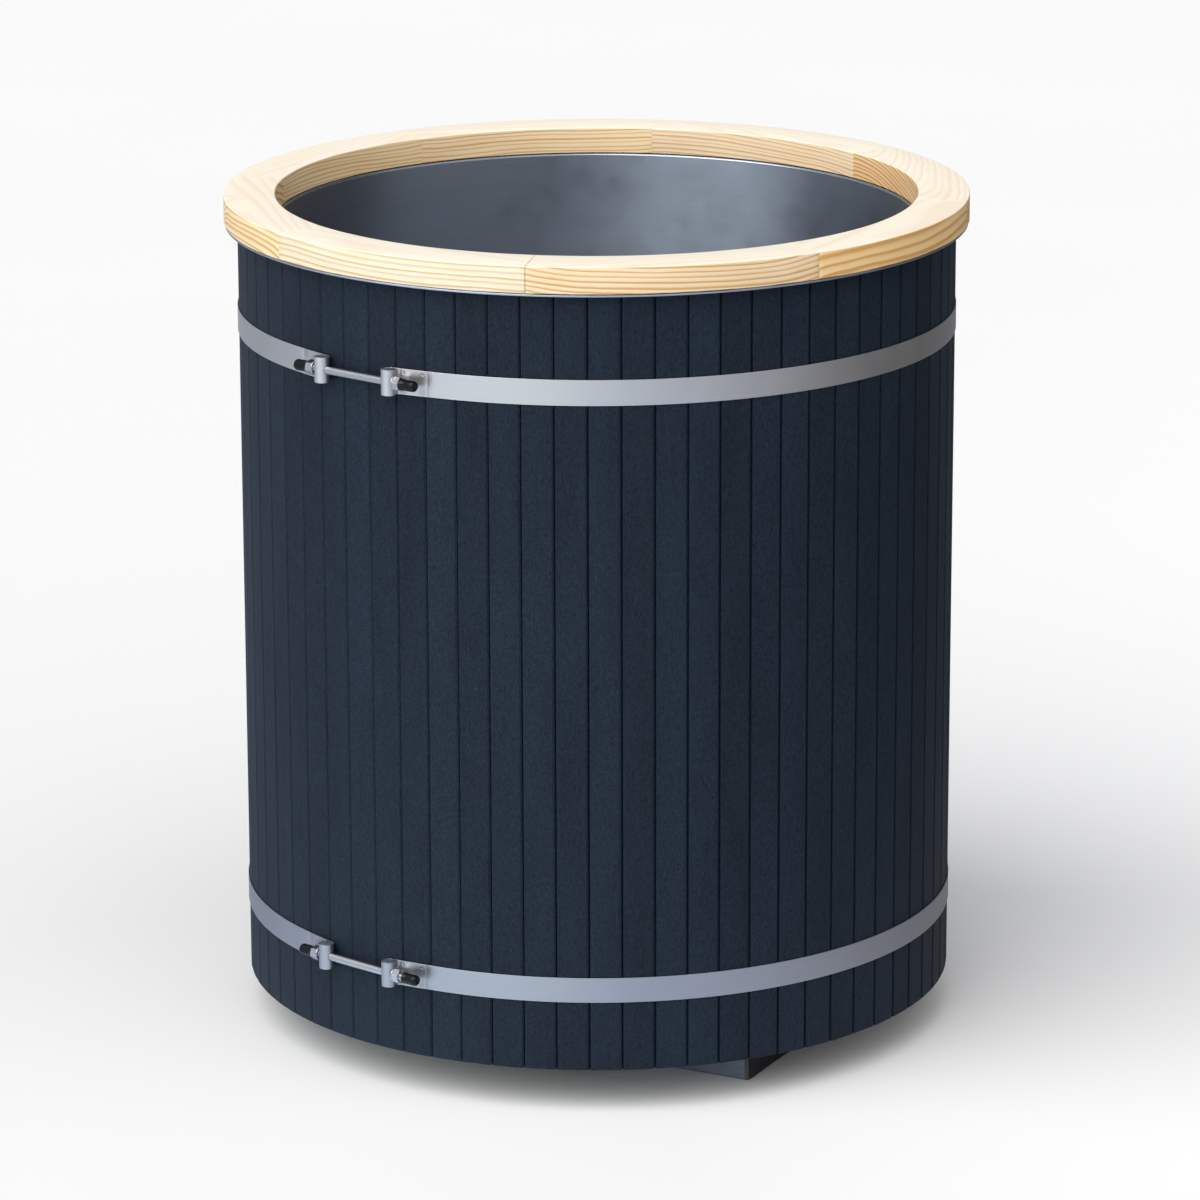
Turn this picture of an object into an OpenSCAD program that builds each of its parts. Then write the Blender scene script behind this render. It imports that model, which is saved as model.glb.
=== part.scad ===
// Round cold plunge tub: timber rim, steel liner, upright cladding staves,
// two tension straps with screw clamps, timber runners and a floor drain.
// Millimetres, +Z up, origin on the ground below the tub's axis.
// Angles named phi are counted from the front (-Y) towards the right (+X).

/* [Tub] */
// Radius over the faces of the cladding staves
tub_r = 500; // [470:5:540]
// Height of the cladding staves
wall_h = 1080; // [950:10:1150]
// Thickness of the cladding staves
stave_t = 20; // [18:1:22]
// Number of cladding staves around the tub
stave_n = 70; // [64:1:76]
// Width of the open groove between two staves, below the slope beside it
stave_gap = 1.9; // [1.5:0.1:4]
// Width of the slope along a stave's right-hand long edge
stave_edge = 2.8; // [0.5:0.1:4]
// Depth of that slope
stave_drop = 2.2; // [0.4:0.1:4]
// Angle of the first groove, right of the front
groove_phi = -1.42; // [-2.5:0.01:2.5]

/* [Rim] */
// Number of timber segments in the rim
rim_n = 8; // [6:1:10]
// Width of the rim, inside edge to outside edge
rim_w = 72; // [68:1:78]
// Thickness of the rim
rim_t = 37; // [28:1:40]
// How far the rim stands out beyond the cladding
rim_over = 18.5; // [17:0.5:22]
// Angle of the first joint between rim segments
rim_phi = -10.45; // [-22.5:0.05:22.5]

/* [Liner] */
// Sheet thickness of the liner
liner_t = 1.5; // [1:0.5:2]
// Distance from the cladding face to the liner's inner face
wall_build = 56; // [52:1:60]
// Thickness of the insulation below the liner floor
floor_foam = 40; // [30:1:60]
// Thickness of the round base panel
panel_t = 21; // [18:1:27]

/* [Straps] */
// Width of the straps
strap_w = 35; // [30:1:40]
// Thickness of the straps
strap_t = 1; // [0.8:0.1:1.2]
// Height of the lower strap's centre above the cladding's lower edge
strap_lo = 115.3; // [90:0.1:200]
// Height of the upper strap's centre above the cladding's lower edge
strap_hi = 946.2; // [700:0.1:1000]
// Left eye of the upper clamp
upper_phi_l = -45.9; // [-50:0.05:-45]
// Right eye of the upper clamp
upper_phi_r = -32.65; // [-35:0.05:-31]
// Left eye of the lower clamp
lower_phi_l = -46.95; // [-50:0.05:-45]
// Right eye of the lower clamp
lower_phi_r = -33.95; // [-35:0.05:-31]

/* [Base] */
// Height of the timber runners
base_h = 60; // [58:1:80]
// Width of one runner
runner_w = 145; // [120:5:160]
// Length of the runners
runner_l = 718; // [680:1:740]
// Width over both runners
runner_span = 482; // [460:1:500]
// How far the runners are turned below the tub
base_turn = 27.5; // [15:0.5:40]

/* [Drain] */
// Outside diameter of the drain pipe
pipe_d = 40; // [36:1:40]

/* [Hidden] */

// heights
z_panel = base_h + panel_t;              // top of the base panel
z_foam = z_panel + floor_foam;           // underside of the liner floor
floor_t = 2;                             // liner floor plate
z_floor = z_foam + floor_t;              // bathing floor
z_stave = base_h + wall_h;               // top of the staves, underside of the flange
z_flange = z_stave + liner_t;            // top of the liner flange
gasket_t = 0.8;
z_rim = z_flange + gasket_t;             // underside of the timber rim
z_top = z_rim + rim_t;

// radii
liner_r = tub_r - wall_build;            // inner face of the liner
rim_ro = tub_r + rim_over;
rim_ri = rim_ro - rim_w;
flange_r = rim_ro - 1.5;                 // edge of the flange
lip_h = 3;                               // turned-down lip of the flange
bend_r = 3.5;                            // bend between wall and flange
foam_ro = tub_r - stave_t - 0.7;         // outside of the wall insulation

// rim fixings
seg_a = 360 / rim_n;
seg_gap = 0.03;                          // glue line between two segments, degrees
screw_r = tub_r + 7.5;                   // circle of the rim screws
dowel_r = 4;
dowel_l = 50;
rim_round = 2.5;                         // broken edges of the timber

// straps and their eyes
strap_ri = tub_r + 0.3;
strap_rm = strap_ri + strap_t / 2;
eye_ro = 10.4;                           // outside radius of the rolled eye
eye_ri = eye_ro - strap_t;
eye_rm = eye_ro - strap_t / 2;
eye_run = 50;                            // straight run of the strap up to the eye
eye_c = sqrt(pow(eye_run, 2) + pow(strap_rm + eye_rm, 2));   // eye centre from the tub axis
eye_a = atan(eye_run / (strap_rm + eye_rm));
back_r = 4;                              // reverse bend from the eye to the tail
tail_gap = 0.1;                          // between strap and tail, bridged by the spot welds
tail_v = strap_t + tail_gap;
back_a = asin((back_r + tail_v - eye_rm) / (eye_rm + back_r));
bend_x = (eye_rm + back_r) * cos(back_a);
tail_l = 54;                             // end of the welded tail, from the eye centre
trunnion_r = eye_ri - 0.2;
z_up = base_h + strap_hi;
z_lo = base_h + strap_lo;

// clamp hardware, M12
thread_r = 5.95;
shank_r = 6;
thread_clear = 0.05;
washer_t = 2;
washer_r = 10;
washer_x = eye_ro + 0.35;                // inner face of the washer, from the eye centre
nut_h = 10;
nut_af = 18;
nut_x = washer_x + washer_t + 0.1;
cap_ro = 8;
cap_l = 24;
cap_bore = 20;
// inner end of each cap, from its eye centre
cap_ul = nut_x + nut_h + 0.3;
cap_ur = nut_x + nut_h + 1.1;
cap_ll = nut_x + nut_h + 0.5;
cap_lr = nut_x + nut_h + 6.1;

// drain
pipe_r = pipe_d / 2;
pipe_ri = pipe_r - 2;
pipe_z = 24.5;
pipe_x0 = 30;                            // inner end of the pipe
pipe_x1 = tub_r - 45;                    // outer end of the pipe
spig_x0 = tub_r - 70;
spig_x1 = tub_r + 10;
spig_ri = pipe_r - 3;
tail_r = 20;
tail_ri = 17;
elbow_top = 51;
seal_t = 1.5;
waste_z = z_floor + seal_t;              // underside of the waste flange
waste_t = 3;

function phis(l, r) = (l + r) / 2;
function halfs(l, r) = (r - l) / 2;

// ---------- rim ----------

module rim_segment(i) {
    a0 = rim_phi + i * seg_a;
    difference() {
        rotate([0, 0, a0 + seg_gap / 2 - 90])
            rotate_extrude(angle = seg_a - seg_gap, $fn = 360)
                polygon([
                    [rim_ri, z_rim + 1], [rim_ri + 1, z_rim],
                    [rim_ro - 1, z_rim], [rim_ro, z_rim + 1],
                    [rim_ro, z_top - rim_round], [rim_ro - 0.75, z_top - 0.75], [rim_ro - rim_round, z_top],
                    [rim_ri + rim_round, z_top], [rim_ri + 0.75, z_top - 0.75], [rim_ri, z_top - rim_round]
                ]);
        for (e = [0, 1])
            joint_dowels(a0 + e * seg_a, 0.05, 1);
        for (s = [-1, 1])
            rim_screw_hole(a0 + seg_a / 2 + s * seg_a / 4, 2.05, z_rim - 1, z_stave + 25.5);
    }
}

module joint_dowels(phi, clear, longer) {
    for (r = [rim_ri + rim_w * 0.32, rim_ri + rim_w * 0.68])
        rotate([0, 0, phi])
            translate([-(dowel_l + longer) / 2, -r, z_rim + rim_t / 2])
                rotate([0, 90, 0]) cylinder(r = dowel_r + clear, h = dowel_l + longer, $fn = 48);
}

module rim_screw_hole(phi, r, z0, z1) {
    rotate([0, 0, phi]) translate([0, -screw_r, z0]) cylinder(r = r, h = z1 - z0, $fn = 32);
}

module rim_dowels() {
    color("burlywood")
        for (i = [0 : rim_n - 1]) joint_dowels(rim_phi + i * seg_a, 0, 0);
}

module rim_screws() {
    color("silver")
        for (i = [0 : rim_n - 1]) for (s = [-1, 1])
            rotate([0, 0, rim_phi + (i + 0.5) * seg_a + s * seg_a / 4])
                translate([0, -screw_r, z_stave]) {
                    difference() {
                        union() {
                            translate([0, 0, -2.4]) cylinder(r = 3.8, h = 2.4, $fn = 32);
                            translate([0, 0, -0.2]) cylinder(r = 2, h = 25.2, $fn = 32);
                        }
                        // cross recess of the driver
                        for (a = [0, 90]) rotate([0, 0, a])
                            translate([-1.8, -0.5, -3]) cube([3.6, 1, 2]);
                    }
                }
}

module rim_gasket() {
    color([0.08, 0.08, 0.08])
        difference() {
            translate([0, 0, z_flange]) cylinder(r = flange_r - 4, h = gasket_t, $fn = 360);
            translate([0, 0, z_flange - 1]) cylinder(r = rim_ri + 5.5, h = gasket_t + 2, $fn = 360);
            for (i = [0 : rim_n - 1]) for (s = [-1, 1])
                rim_screw_hole(rim_phi + (i + 0.5) * seg_a + s * seg_a / 4, 2.4, z_flange - 1, z_rim + 1);
        }
}

// ---------- liner and insulation ----------

function arc_pts(cx, cy, r, a0, a1, n) =
    [for (i = [0 : n]) let (a = a0 + (a1 - a0) * i / n) [cx + r * cos(a), cy + r * sin(a)]];

module liner_wall() {
    color([0.45, 0.47, 0.5])
        difference() {
            rotate_extrude($fn = 360)
                polygon(concat(
                    [[liner_r, z_floor]],
                    arc_pts(liner_r + bend_r, z_flange - bend_r, bend_r, 180, 90, 6),
                    [[flange_r, z_flange], [flange_r, z_flange - lip_h],
                     [flange_r - liner_t, z_flange - lip_h], [flange_r - liner_t, z_flange - liner_t]],
                    arc_pts(liner_r + bend_r, z_flange - bend_r, bend_r - liner_t, 90, 180, 6),
                    [[liner_r + liner_t, z_floor]]
                ));
            for (i = [0 : rim_n - 1]) for (s = [-1, 1])
                rim_screw_hole(rim_phi + (i + 0.5) * seg_a + s * seg_a / 4, 2.3, z_stave - 2, z_flange + 2);
        }
}

module liner_floor() {
    color([0.45, 0.47, 0.5])
        translate([0, 0, z_foam])
            difference() {
                cylinder(r = liner_r + liner_t, h = floor_t, $fn = 360);
                translate([0, 0, -1]) cylinder(r = tail_r + 1, h = floor_t + 2, $fn = 64);
            }
}

module wall_insulation() {
    color("khaki")
        difference() {
            translate([0, 0, z_panel + 0.5]) cylinder(r = foam_ro, h = z_stave - z_panel - 1, $fn = 360);
            translate([0, 0, z_panel - 1]) cylinder(r = liner_r + liner_t + 0.7, h = z_stave - z_panel + 2, $fn = 360);
        }
}

module floor_insulation() {
    color("khaki")
        translate([0, 0, z_panel])
            difference() {
                cylinder(r = liner_r + liner_t, h = floor_foam, $fn = 360);
                translate([0, 0, -1]) cylinder(r = tail_r + 2, h = floor_foam + 2, $fn = 64);
            }
}

// ---------- cladding ----------

pitch = 360 / stave_n;
half_a = pitch / 2;
side_clear = 0.1;
face_hw = tub_r * tan(half_a) - stave_gap / 2;          // half width of a stave's face
face_d = sqrt(pow(tub_r, 2) - pow(face_hw, 2));         // distance of the flat face
left_break = 0.4;                                       // broken left-hand long edge
shoulder_d = tub_r - stave_t * 0.28;                    // floor of the open groove
tongue_d = tub_r - stave_t * 0.72;                      // middle of tongue and groove

// a point on the side plane of a stave, pushed out along its normal
function side_pt(s, d, out) = [s * (d * sin(half_a) + out * cos(half_a)), -(d * cos(half_a) - out * sin(half_a))];
// the same for the groove side, where the plane is mirrored
function groove_pt(d, into) = [-(d * sin(half_a) - into * cos(half_a)), -(d * cos(half_a) + into * sin(half_a))];

module stave() {
    linear_extrude(height = wall_h)
        polygon([
            [-face_hw + left_break, -face_d],
            [face_hw - stave_edge, -face_d],
            [face_hw - 0.62 * stave_edge, -(face_d - 0.24 * stave_drop)],
            [face_hw, -(face_d - stave_drop)],
            [face_hw, -shoulder_d],
            side_pt(1, shoulder_d, -side_clear),
            side_pt(1, tongue_d + 1.8, -side_clear), side_pt(1, tongue_d + 1.8, 4.2),
            side_pt(1, tongue_d - 1.8, 4.2), side_pt(1, tongue_d - 1.8, -side_clear),
            [(tub_r - stave_t) * tan(half_a) - side_clear, -(tub_r - stave_t)],
            [-(tub_r - stave_t) * tan(half_a) + side_clear, -(tub_r - stave_t)],
            groove_pt(tongue_d - 2, side_clear), groove_pt(tongue_d - 2, 4.7),
            groove_pt(tongue_d + 2, 4.7), groove_pt(tongue_d + 2, side_clear),
            groove_pt(shoulder_d, side_clear),
            [-face_hw, -shoulder_d],
            [-face_hw, -(face_d - left_break)]
        ]);
}

module cladding_staves() {
    color([0.13, 0.16, 0.21])
        translate([0, 0, base_h])
            for (i = [0 : stave_n - 1])
                rotate([0, 0, groove_phi + (i + 0.5) * pitch]) stave();
}

// ---------- base ----------

module base_panel() {
    color("peru")
        difference() {
            translate([0, 0, base_h]) cylinder(r = tub_r - stave_t - 0.5, h = panel_t, $fn = 360);
            translate([0, 0, base_h - 1]) cylinder(r = tail_r + 1, h = panel_t + 2, $fn = 64);
            base_screw_spots() {
                translate([0, 0, base_h - 1]) cylinder(r = 2.7, h = panel_t + 2, $fn = 32);
                translate([0, 0, z_panel - 4]) cylinder(r1 = 2.7, r2 = 6.7, h = 4, $fn = 32);
                translate([0, 0, z_panel - 0.1]) cylinder(r = 6.7, h = 1, $fn = 32);
            }
        }
}

module base_screw_spots() {
    for (s = [-1, 1]) for (x = [-0.42, -0.15, 0.15, 0.42])
        rotate([0, 0, -base_turn])
            translate([x * runner_l, s * (runner_span - runner_w) / 2, 0]) children();
}

module base_runner(s) {
    color([0.42, 0.4, 0.37])
        difference() {
            rotate([0, 0, -base_turn])
                translate([-runner_l / 2, s * (runner_span - runner_w) / 2 - runner_w / 2, 0])
                    cube([runner_l, runner_w, base_h]);
            base_screw_spots() translate([0, 0, base_h - 45]) cylinder(r = 2.55, h = 46, $fn = 32);
        }
}

module base_screws() {
    color("goldenrod")
        base_screw_spots() {
            translate([0, 0, base_h - 40]) cylinder(r = 2.5, h = 40 + panel_t - 3.5, $fn = 32);
            difference() {
                translate([0, 0, z_panel - 3.9]) cylinder(r1 = 2.5, r2 = 6.4, h = 3.9, $fn = 32);
                for (a = [0, 90]) rotate([0, 0, a])
                    translate([-2.6, -0.7, z_panel - 2]) cube([5.2, 1.4, 3]);
            }
        }
}

// ---------- straps ----------

// Clamp frame: X along the rod, towards the right, at the rod's axis
module clamp(l, r, z) {
    rotate([0, 0, phis(l, r)]) translate([0, -eye_c * cos(halfs(l, r)), z]) children();
}

// Strap end in plan, from the tail to the end of the rolled eye, as points [x, v]:
// x runs back along the strap, v outwards, and the eye centre is at [0, eye_rm].
// o moves the line outwards on the strap, and so to the other side of the steel.
function strap_end_pts(o) = concat(
    [[tail_l, tail_v - o]],
    arc_pts(bend_x, tail_v + back_r, back_r + o, 270, 180 + back_a, 8),
    [for (i = [1 : 30]) let (a = back_a + (270 - back_a) * i / 30)
        [(eye_rm - o) * cos(a), eye_rm + (eye_rm - o) * sin(a)]]
);

// the same points in the tub's plan; s = 1 for the strap's left end, s = -1 for its right end
function placed_pt(p, phi, s) =
    let (a = phi + s * eye_a, x = s * (p[0] - eye_run), y = -(strap_rm + p[1]))
    [x * cos(a) - y * sin(a), x * sin(a) + y * cos(a)];

function ring_pts(r, a0, a1, n) = [for (i = [0 : n]) let (a = a0 + (a1 - a0) * i / n) [r * sin(a), -r * cos(a)]];

function strap_line(l, r, o) =
    let (e = strap_end_pts(o), n = len(e))
    concat(
        [for (p = e) placed_pt(p, r, 1)],
        ring_pts(strap_rm + o, r + eye_a, 360 + l - eye_a, 180),
        [for (i = [n - 1 : -1 : 0]) placed_pt(e[i], l, -1)]
    );

function backwards(v) = [for (i = [len(v) - 1 : -1 : 0]) v[i]];

// spot welds that tie the tail to the strap
module spot_welds(phi, s) {
    rotate([0, 0, phi + s * eye_a])
        for (x = [18, 47]) for (z = [-12, 12])
            translate([s * (x - eye_run), -strap_rm + 0.2, z])
                rotate([90, 0, 0]) cylinder(r = 2.2, h = strap_t + tail_gap - 0.4 + strap_t / 2, $fn = 32);
}

module strap(l, r, z) {
    color([0.75, 0.76, 0.78])
        difference() {
            translate([0, 0, z]) {
                translate([0, 0, -strap_w / 2]) linear_extrude(height = strap_w)
                    polygon(concat(strap_line(l, r, strap_t / 2), backwards(strap_line(l, r, -strap_t / 2))));
                spot_welds(r, 1);
                spot_welds(l, -1);
            }
            clamp(l, r, z) for (s = [-1, 1])
                translate([s * eye_c * sin(halfs(l, r)) - 14, 0, 0])
                    rotate([0, 90, 0]) cylinder(r = shank_r + 0.3, h = 28, $fn = 48);
        }
}

module upper_strap() { strap(upper_phi_l, upper_phi_r, z_up); }
module lower_strap() { strap(lower_phi_l, lower_phi_r, z_lo); }

module trunnions(l, r, z) {
    color([0.5, 0.53, 0.58])
        difference() {
            clamp(l, r, z) for (s = [-1, 1])
                translate([s * eye_c * sin(halfs(l, r)), 0, -strap_w / 2])
                    cylinder(r = trunnion_r, h = strap_w, $fn = 64);
            clamp(l, r, z) translate([-eye_c * sin(halfs(l, r)) - 20, 0, 0])
                rotate([0, 90, 0]) cylinder(r = shank_r + 0.2, h = 2 * eye_c * sin(halfs(l, r)) + 40, $fn = 48);
        }
}

module upper_trunnions() { trunnions(upper_phi_l, upper_phi_r, z_up); }
module lower_trunnions() { trunnions(lower_phi_l, lower_phi_r, z_lo); }

// ---------- clamp hardware ----------

module rod(l, r, z, cap_a, cap_b) {
    hc = eye_c * sin(halfs(l, r));
    xa = -(hc + cap_a + cap_bore - 0.5);
    xb = hc + cap_b + cap_bore - 0.5;
    color("silver")
        clamp(l, r, z) rotate([0, 90, 0]) {
            // threaded ends reach in to the eyes, with a plain shank between
            translate([0, 0, xa + 0.8]) cylinder(r = thread_r, h = -xa - 0.8 - hc + 6, $fn = 48);
            translate([0, 0, xa]) cylinder(r1 = thread_r - 0.8, r2 = thread_r, h = 0.8, $fn = 48);
            translate([0, 0, -hc + 6]) cylinder(r = shank_r, h = 2 * hc - 12, $fn = 48);
            translate([0, 0, hc - 6]) cylinder(r = thread_r, h = xb - 0.8 - hc + 6, $fn = 48);
            translate([0, 0, xb - 0.8]) cylinder(r1 = thread_r, r2 = thread_r - 0.8, h = 0.8, $fn = 48);
        }
}

module upper_rod() { rod(upper_phi_l, upper_phi_r, z_up, cap_ul, cap_ur); }
module lower_rod() { rod(lower_phi_l, lower_phi_r, z_lo, cap_ll, cap_lr); }

// place children with +Z pointing outwards along the rod, origin at the eye centre
module rod_end(l, r, z, s) {
    clamp(l, r, z) translate([s * eye_c * sin(halfs(l, r)), 0, 0]) rotate([0, s * 90, 0]) children();
}

module washer() {
    color("silver")
        translate([0, 0, washer_x])
            difference() {
                cylinder(r = washer_r, h = washer_t, $fn = 64);
                translate([0, 0, -1]) cylinder(r = shank_r + 0.25, h = washer_t + 2, $fn = 48);
            }
}

module hex_nut() {
    color([0.8, 0.8, 0.82])
        translate([0, 0, nut_x])
            difference() {
                intersection() {
                    rotate([0, 0, 15]) cylinder(r = nut_af / 2 / cos(30), h = nut_h, $fn = 6);
                    // chamfered corners
                    translate([0, 0, -8.8]) cylinder(r1 = 0.1, r2 = 26, h = 26, $fn = 64);
                    translate([0, 0, nut_h - 17.2]) cylinder(r1 = 26, r2 = 0.1, h = 26, $fn = 64);
                }
                translate([0, 0, -1]) cylinder(r = thread_r + thread_clear, h = nut_h + 2, $fn = 48);
            }
}

module end_cap(x) {
    color([0.05, 0.05, 0.05])
        translate([0, 0, x])
            difference() {
                rotate_extrude($fn = 64)
                    polygon(concat(
                        [[0, 0], [cap_ro - 0.4, 0], [cap_ro, 0.4]],
                        arc_pts(cap_ro - 4, cap_l - 4, 4, 0, 90, 6),
                        [[0, cap_l]]
                    ));
                translate([0, 0, -1]) cylinder(r = thread_r + thread_clear, h = cap_bore + 1, $fn = 48);
            }
}

module washer_upper_left() { rod_end(upper_phi_l, upper_phi_r, z_up, -1) washer(); }
module washer_upper_right() { rod_end(upper_phi_l, upper_phi_r, z_up, 1) washer(); }
module washer_lower_left() { rod_end(lower_phi_l, lower_phi_r, z_lo, -1) washer(); }
module washer_lower_right() { rod_end(lower_phi_l, lower_phi_r, z_lo, 1) washer(); }

module nut_upper_left() { rod_end(upper_phi_l, upper_phi_r, z_up, -1) hex_nut(); }
module nut_upper_right() { rod_end(upper_phi_l, upper_phi_r, z_up, 1) hex_nut(); }
module nut_lower_left() { rod_end(lower_phi_l, lower_phi_r, z_lo, -1) hex_nut(); }
module nut_lower_right() { rod_end(lower_phi_l, lower_phi_r, z_lo, 1) hex_nut(); }

module cap_upper_left() { rod_end(upper_phi_l, upper_phi_r, z_up, -1) end_cap(cap_ul); }
module cap_upper_right() { rod_end(upper_phi_l, upper_phi_r, z_up, 1) end_cap(cap_ur); }
module cap_lower_left() { rod_end(lower_phi_l, lower_phi_r, z_lo, -1) end_cap(cap_ll); }
module cap_lower_right() { rod_end(lower_phi_l, lower_phi_r, z_lo, 1) end_cap(cap_lr); }

// ---------- drain ----------

// X runs outwards along the gap between the runners, towards the back left
module drain_line() {
    rotate([0, 0, 180 - base_turn]) children();
}

module drain_waste() {
    color("silver")
        difference() {
            union() {
                translate([0, 0, waste_z]) cylinder(r1 = 34.5, r2 = 32.5, h = waste_t, $fn = 96);
                translate([0, 0, elbow_top - 7]) cylinder(r = tail_r, h = waste_z - elbow_top + 8, $fn = 96);
            }
            translate([0, 0, elbow_top - 8]) cylinder(r = tail_ri, h = waste_z + waste_t - elbow_top + 10, $fn = 96);
            translate([0, 0, waste_z + waste_t - 3]) cylinder(r1 = tail_ri, r2 = tail_ri + 3.2, h = 3.2, $fn = 96);
        }
}

module drain_seal() {
    color([0.1, 0.1, 0.1])
        translate([0, 0, z_floor])
            difference() {
                cylinder(r = 31, h = seal_t, $fn = 96);
                translate([0, 0, -1]) cylinder(r = tail_r + 0.3, h = seal_t + 2, $fn = 96);
            }
}

module drain_locknut() {
    color([0.2, 0.2, 0.22])
        translate([0, 0, elbow_top + 1])
            difference() {
                cylinder(r = 30, h = base_h - elbow_top - 1, $fn = 8);
                translate([0, 0, -1]) cylinder(r = tail_r + 0.1, h = base_h, $fn = 96);
            }
}

module drain_elbow() {
    color([0.6, 0.6, 0.62])
        drain_line()
            difference() {
                union() {
                    translate([0, 0, 2]) cylinder(r = 24, h = elbow_top - 2, $fn = 96);
                    translate([0, 0, pipe_z]) rotate([0, 90, 0]) cylinder(r = pipe_r + 2.3, h = 58, $fn = 96);
                }
                translate([0, 0, elbow_top - 7.5]) cylinder(r = tail_r + 0.1, h = 10, $fn = 96);
                translate([0, 0, 5.5]) cylinder(r = tail_ri, h = elbow_top, $fn = 96);
                translate([0, 0, pipe_z]) rotate([0, 90, 0]) cylinder(r = pipe_ri, h = 60, $fn = 96);
                translate([pipe_x0 - 0.5, 0, pipe_z]) rotate([0, 90, 0]) cylinder(r = pipe_r + 0.1, h = 60, $fn = 96);
            }
}

module drain_pipe() {
    color([0.65, 0.65, 0.67])
        drain_line() translate([pipe_x0, 0, pipe_z]) rotate([0, 90, 0])
            difference() {
                cylinder(r = pipe_r, h = pipe_x1 - pipe_x0, $fn = 96);
                translate([0, 0, -1]) cylinder(r = pipe_ri, h = pipe_x1 - pipe_x0 + 2, $fn = 96);
            }
}

module drain_spigot() {
    color([0.55, 0.55, 0.57])
        drain_line() translate([spig_x0, 0, pipe_z]) rotate([0, 90, 0])
            difference() {
                union() {
                    cylinder(r = pipe_r + 3, h = 30, $fn = 96);
                    cylinder(r = pipe_r, h = spig_x1 - spig_x0, $fn = 96);
                }
                translate([0, 0, -1]) cylinder(r = pipe_r + 0.1, h = pipe_x1 - spig_x0 + 1.5, $fn = 96);
                cylinder(r = spig_ri, h = spig_x1 - spig_x0 + 1, $fn = 96);
            }
}

module pipe_clip() {
    color([0.2, 0.2, 0.22])
        drain_line() translate([tub_r * 0.55, 0, 0])
            difference() {
                translate([-11, -pipe_r - 6, pipe_z - 8]) cube([22, 2 * pipe_r + 12, base_h - pipe_z + 8]);
                translate([-12, 0, pipe_z]) rotate([0, 90, 0]) cylinder(r = pipe_r + 0.2, h = 24, $fn = 96);
                // mouth that snaps over the pipe
                translate([-12, -pipe_r + 0.8, pipe_z - 20]) cube([24, 2 * pipe_r - 1.6, 20]);
            }
}

module drain_plug() {
    color([0.08, 0.08, 0.08])
        translate([0, 0, waste_z + waste_t])
            difference() {
                union() {
                    translate([0, 0, 0.1]) cylinder(r1 = 23.5, r2 = 22, h = 3.5, $fn = 96);
                    translate([0, 0, -14]) cylinder(r1 = 15, r2 = 16.6, h = 14.5, $fn = 96);
                }
                translate([0, 0, -8]) cylinder(r = 3.05, h = 20, $fn = 48);
            }
}

module plug_knob() {
    color("silver")
        translate([0, 0, waste_z + waste_t]) {
            translate([0, 0, -7.5]) cylinder(r = 3, h = 12, $fn = 48);
            translate([0, 0, 3.7]) cylinder(r = 8, h = 2, $fn = 64);
            translate([0, 0, 5]) cylinder(r = 4.5, h = 9, $fn = 64);
            translate([0, 0, 13.5]) cylinder(r1 = 9, r2 = 10, h = 2.5, $fn = 64);
            translate([0, 0, 16]) cylinder(r = 10, h = 4, $fn = 64);
            translate([0, 0, 20]) cylinder(r1 = 10, r2 = 8, h = 2, $fn = 64);
        }
}

module rim_segment_1() { color([0.95, 0.84, 0.66]) rim_segment(0); }
module rim_segment_2() { color([0.93, 0.80, 0.60]) rim_segment(1); }
module rim_segment_3() { color([0.95, 0.84, 0.66]) rim_segment(2); }
module rim_segment_4() { color([0.93, 0.80, 0.60]) rim_segment(3); }
module rim_segment_5() { color([0.95, 0.84, 0.66]) rim_segment(4); }
module rim_segment_6() { color([0.93, 0.80, 0.60]) rim_segment(5); }
module rim_segment_7() { color([0.95, 0.84, 0.66]) rim_segment(6); }
module rim_segment_8() { color([0.93, 0.80, 0.60]) rim_segment(7); }

module base_runner_front() { base_runner(-1); }
module base_runner_back() { base_runner(1); }

rim_segment_1();
rim_segment_2();
rim_segment_3();
rim_segment_4();
rim_segment_5();
rim_segment_6();
rim_segment_7();
rim_segment_8();
rim_dowels();
rim_screws();
rim_gasket();
liner_wall();
liner_floor();
wall_insulation();
floor_insulation();
cladding_staves();
base_panel();
base_runner_front();
base_runner_back();
base_screws();
upper_strap();
lower_strap();
upper_trunnions();
lower_trunnions();
upper_rod();
lower_rod();
washer_upper_left();
washer_upper_right();
washer_lower_left();
washer_lower_right();
nut_upper_left();
nut_upper_right();
nut_lower_left();
nut_lower_right();
cap_upper_left();
cap_upper_right();
cap_lower_left();
cap_lower_right();
drain_waste();
drain_seal();
drain_locknut();
drain_elbow();
drain_pipe();
drain_spigot();
pipe_clip();
drain_plug();
plug_knob();
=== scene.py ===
import math

import bmesh
import bpy
import numpy as np
from mathutils import Matrix, Vector


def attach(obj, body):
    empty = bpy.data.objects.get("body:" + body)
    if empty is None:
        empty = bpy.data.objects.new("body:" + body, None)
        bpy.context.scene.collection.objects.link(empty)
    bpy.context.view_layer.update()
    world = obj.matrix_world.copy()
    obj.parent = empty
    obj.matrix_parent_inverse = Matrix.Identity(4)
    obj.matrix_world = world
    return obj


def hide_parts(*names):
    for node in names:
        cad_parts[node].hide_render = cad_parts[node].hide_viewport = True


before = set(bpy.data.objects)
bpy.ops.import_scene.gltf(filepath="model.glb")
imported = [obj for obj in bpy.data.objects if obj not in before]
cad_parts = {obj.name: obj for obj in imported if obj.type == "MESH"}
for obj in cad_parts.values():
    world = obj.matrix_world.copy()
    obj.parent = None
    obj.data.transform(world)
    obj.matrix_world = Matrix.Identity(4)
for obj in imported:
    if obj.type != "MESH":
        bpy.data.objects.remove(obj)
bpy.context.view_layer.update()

scene = bpy.context.scene
PI = math.pi
MM = 0.001


def rad(a):
    return math.radians(a)


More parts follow.
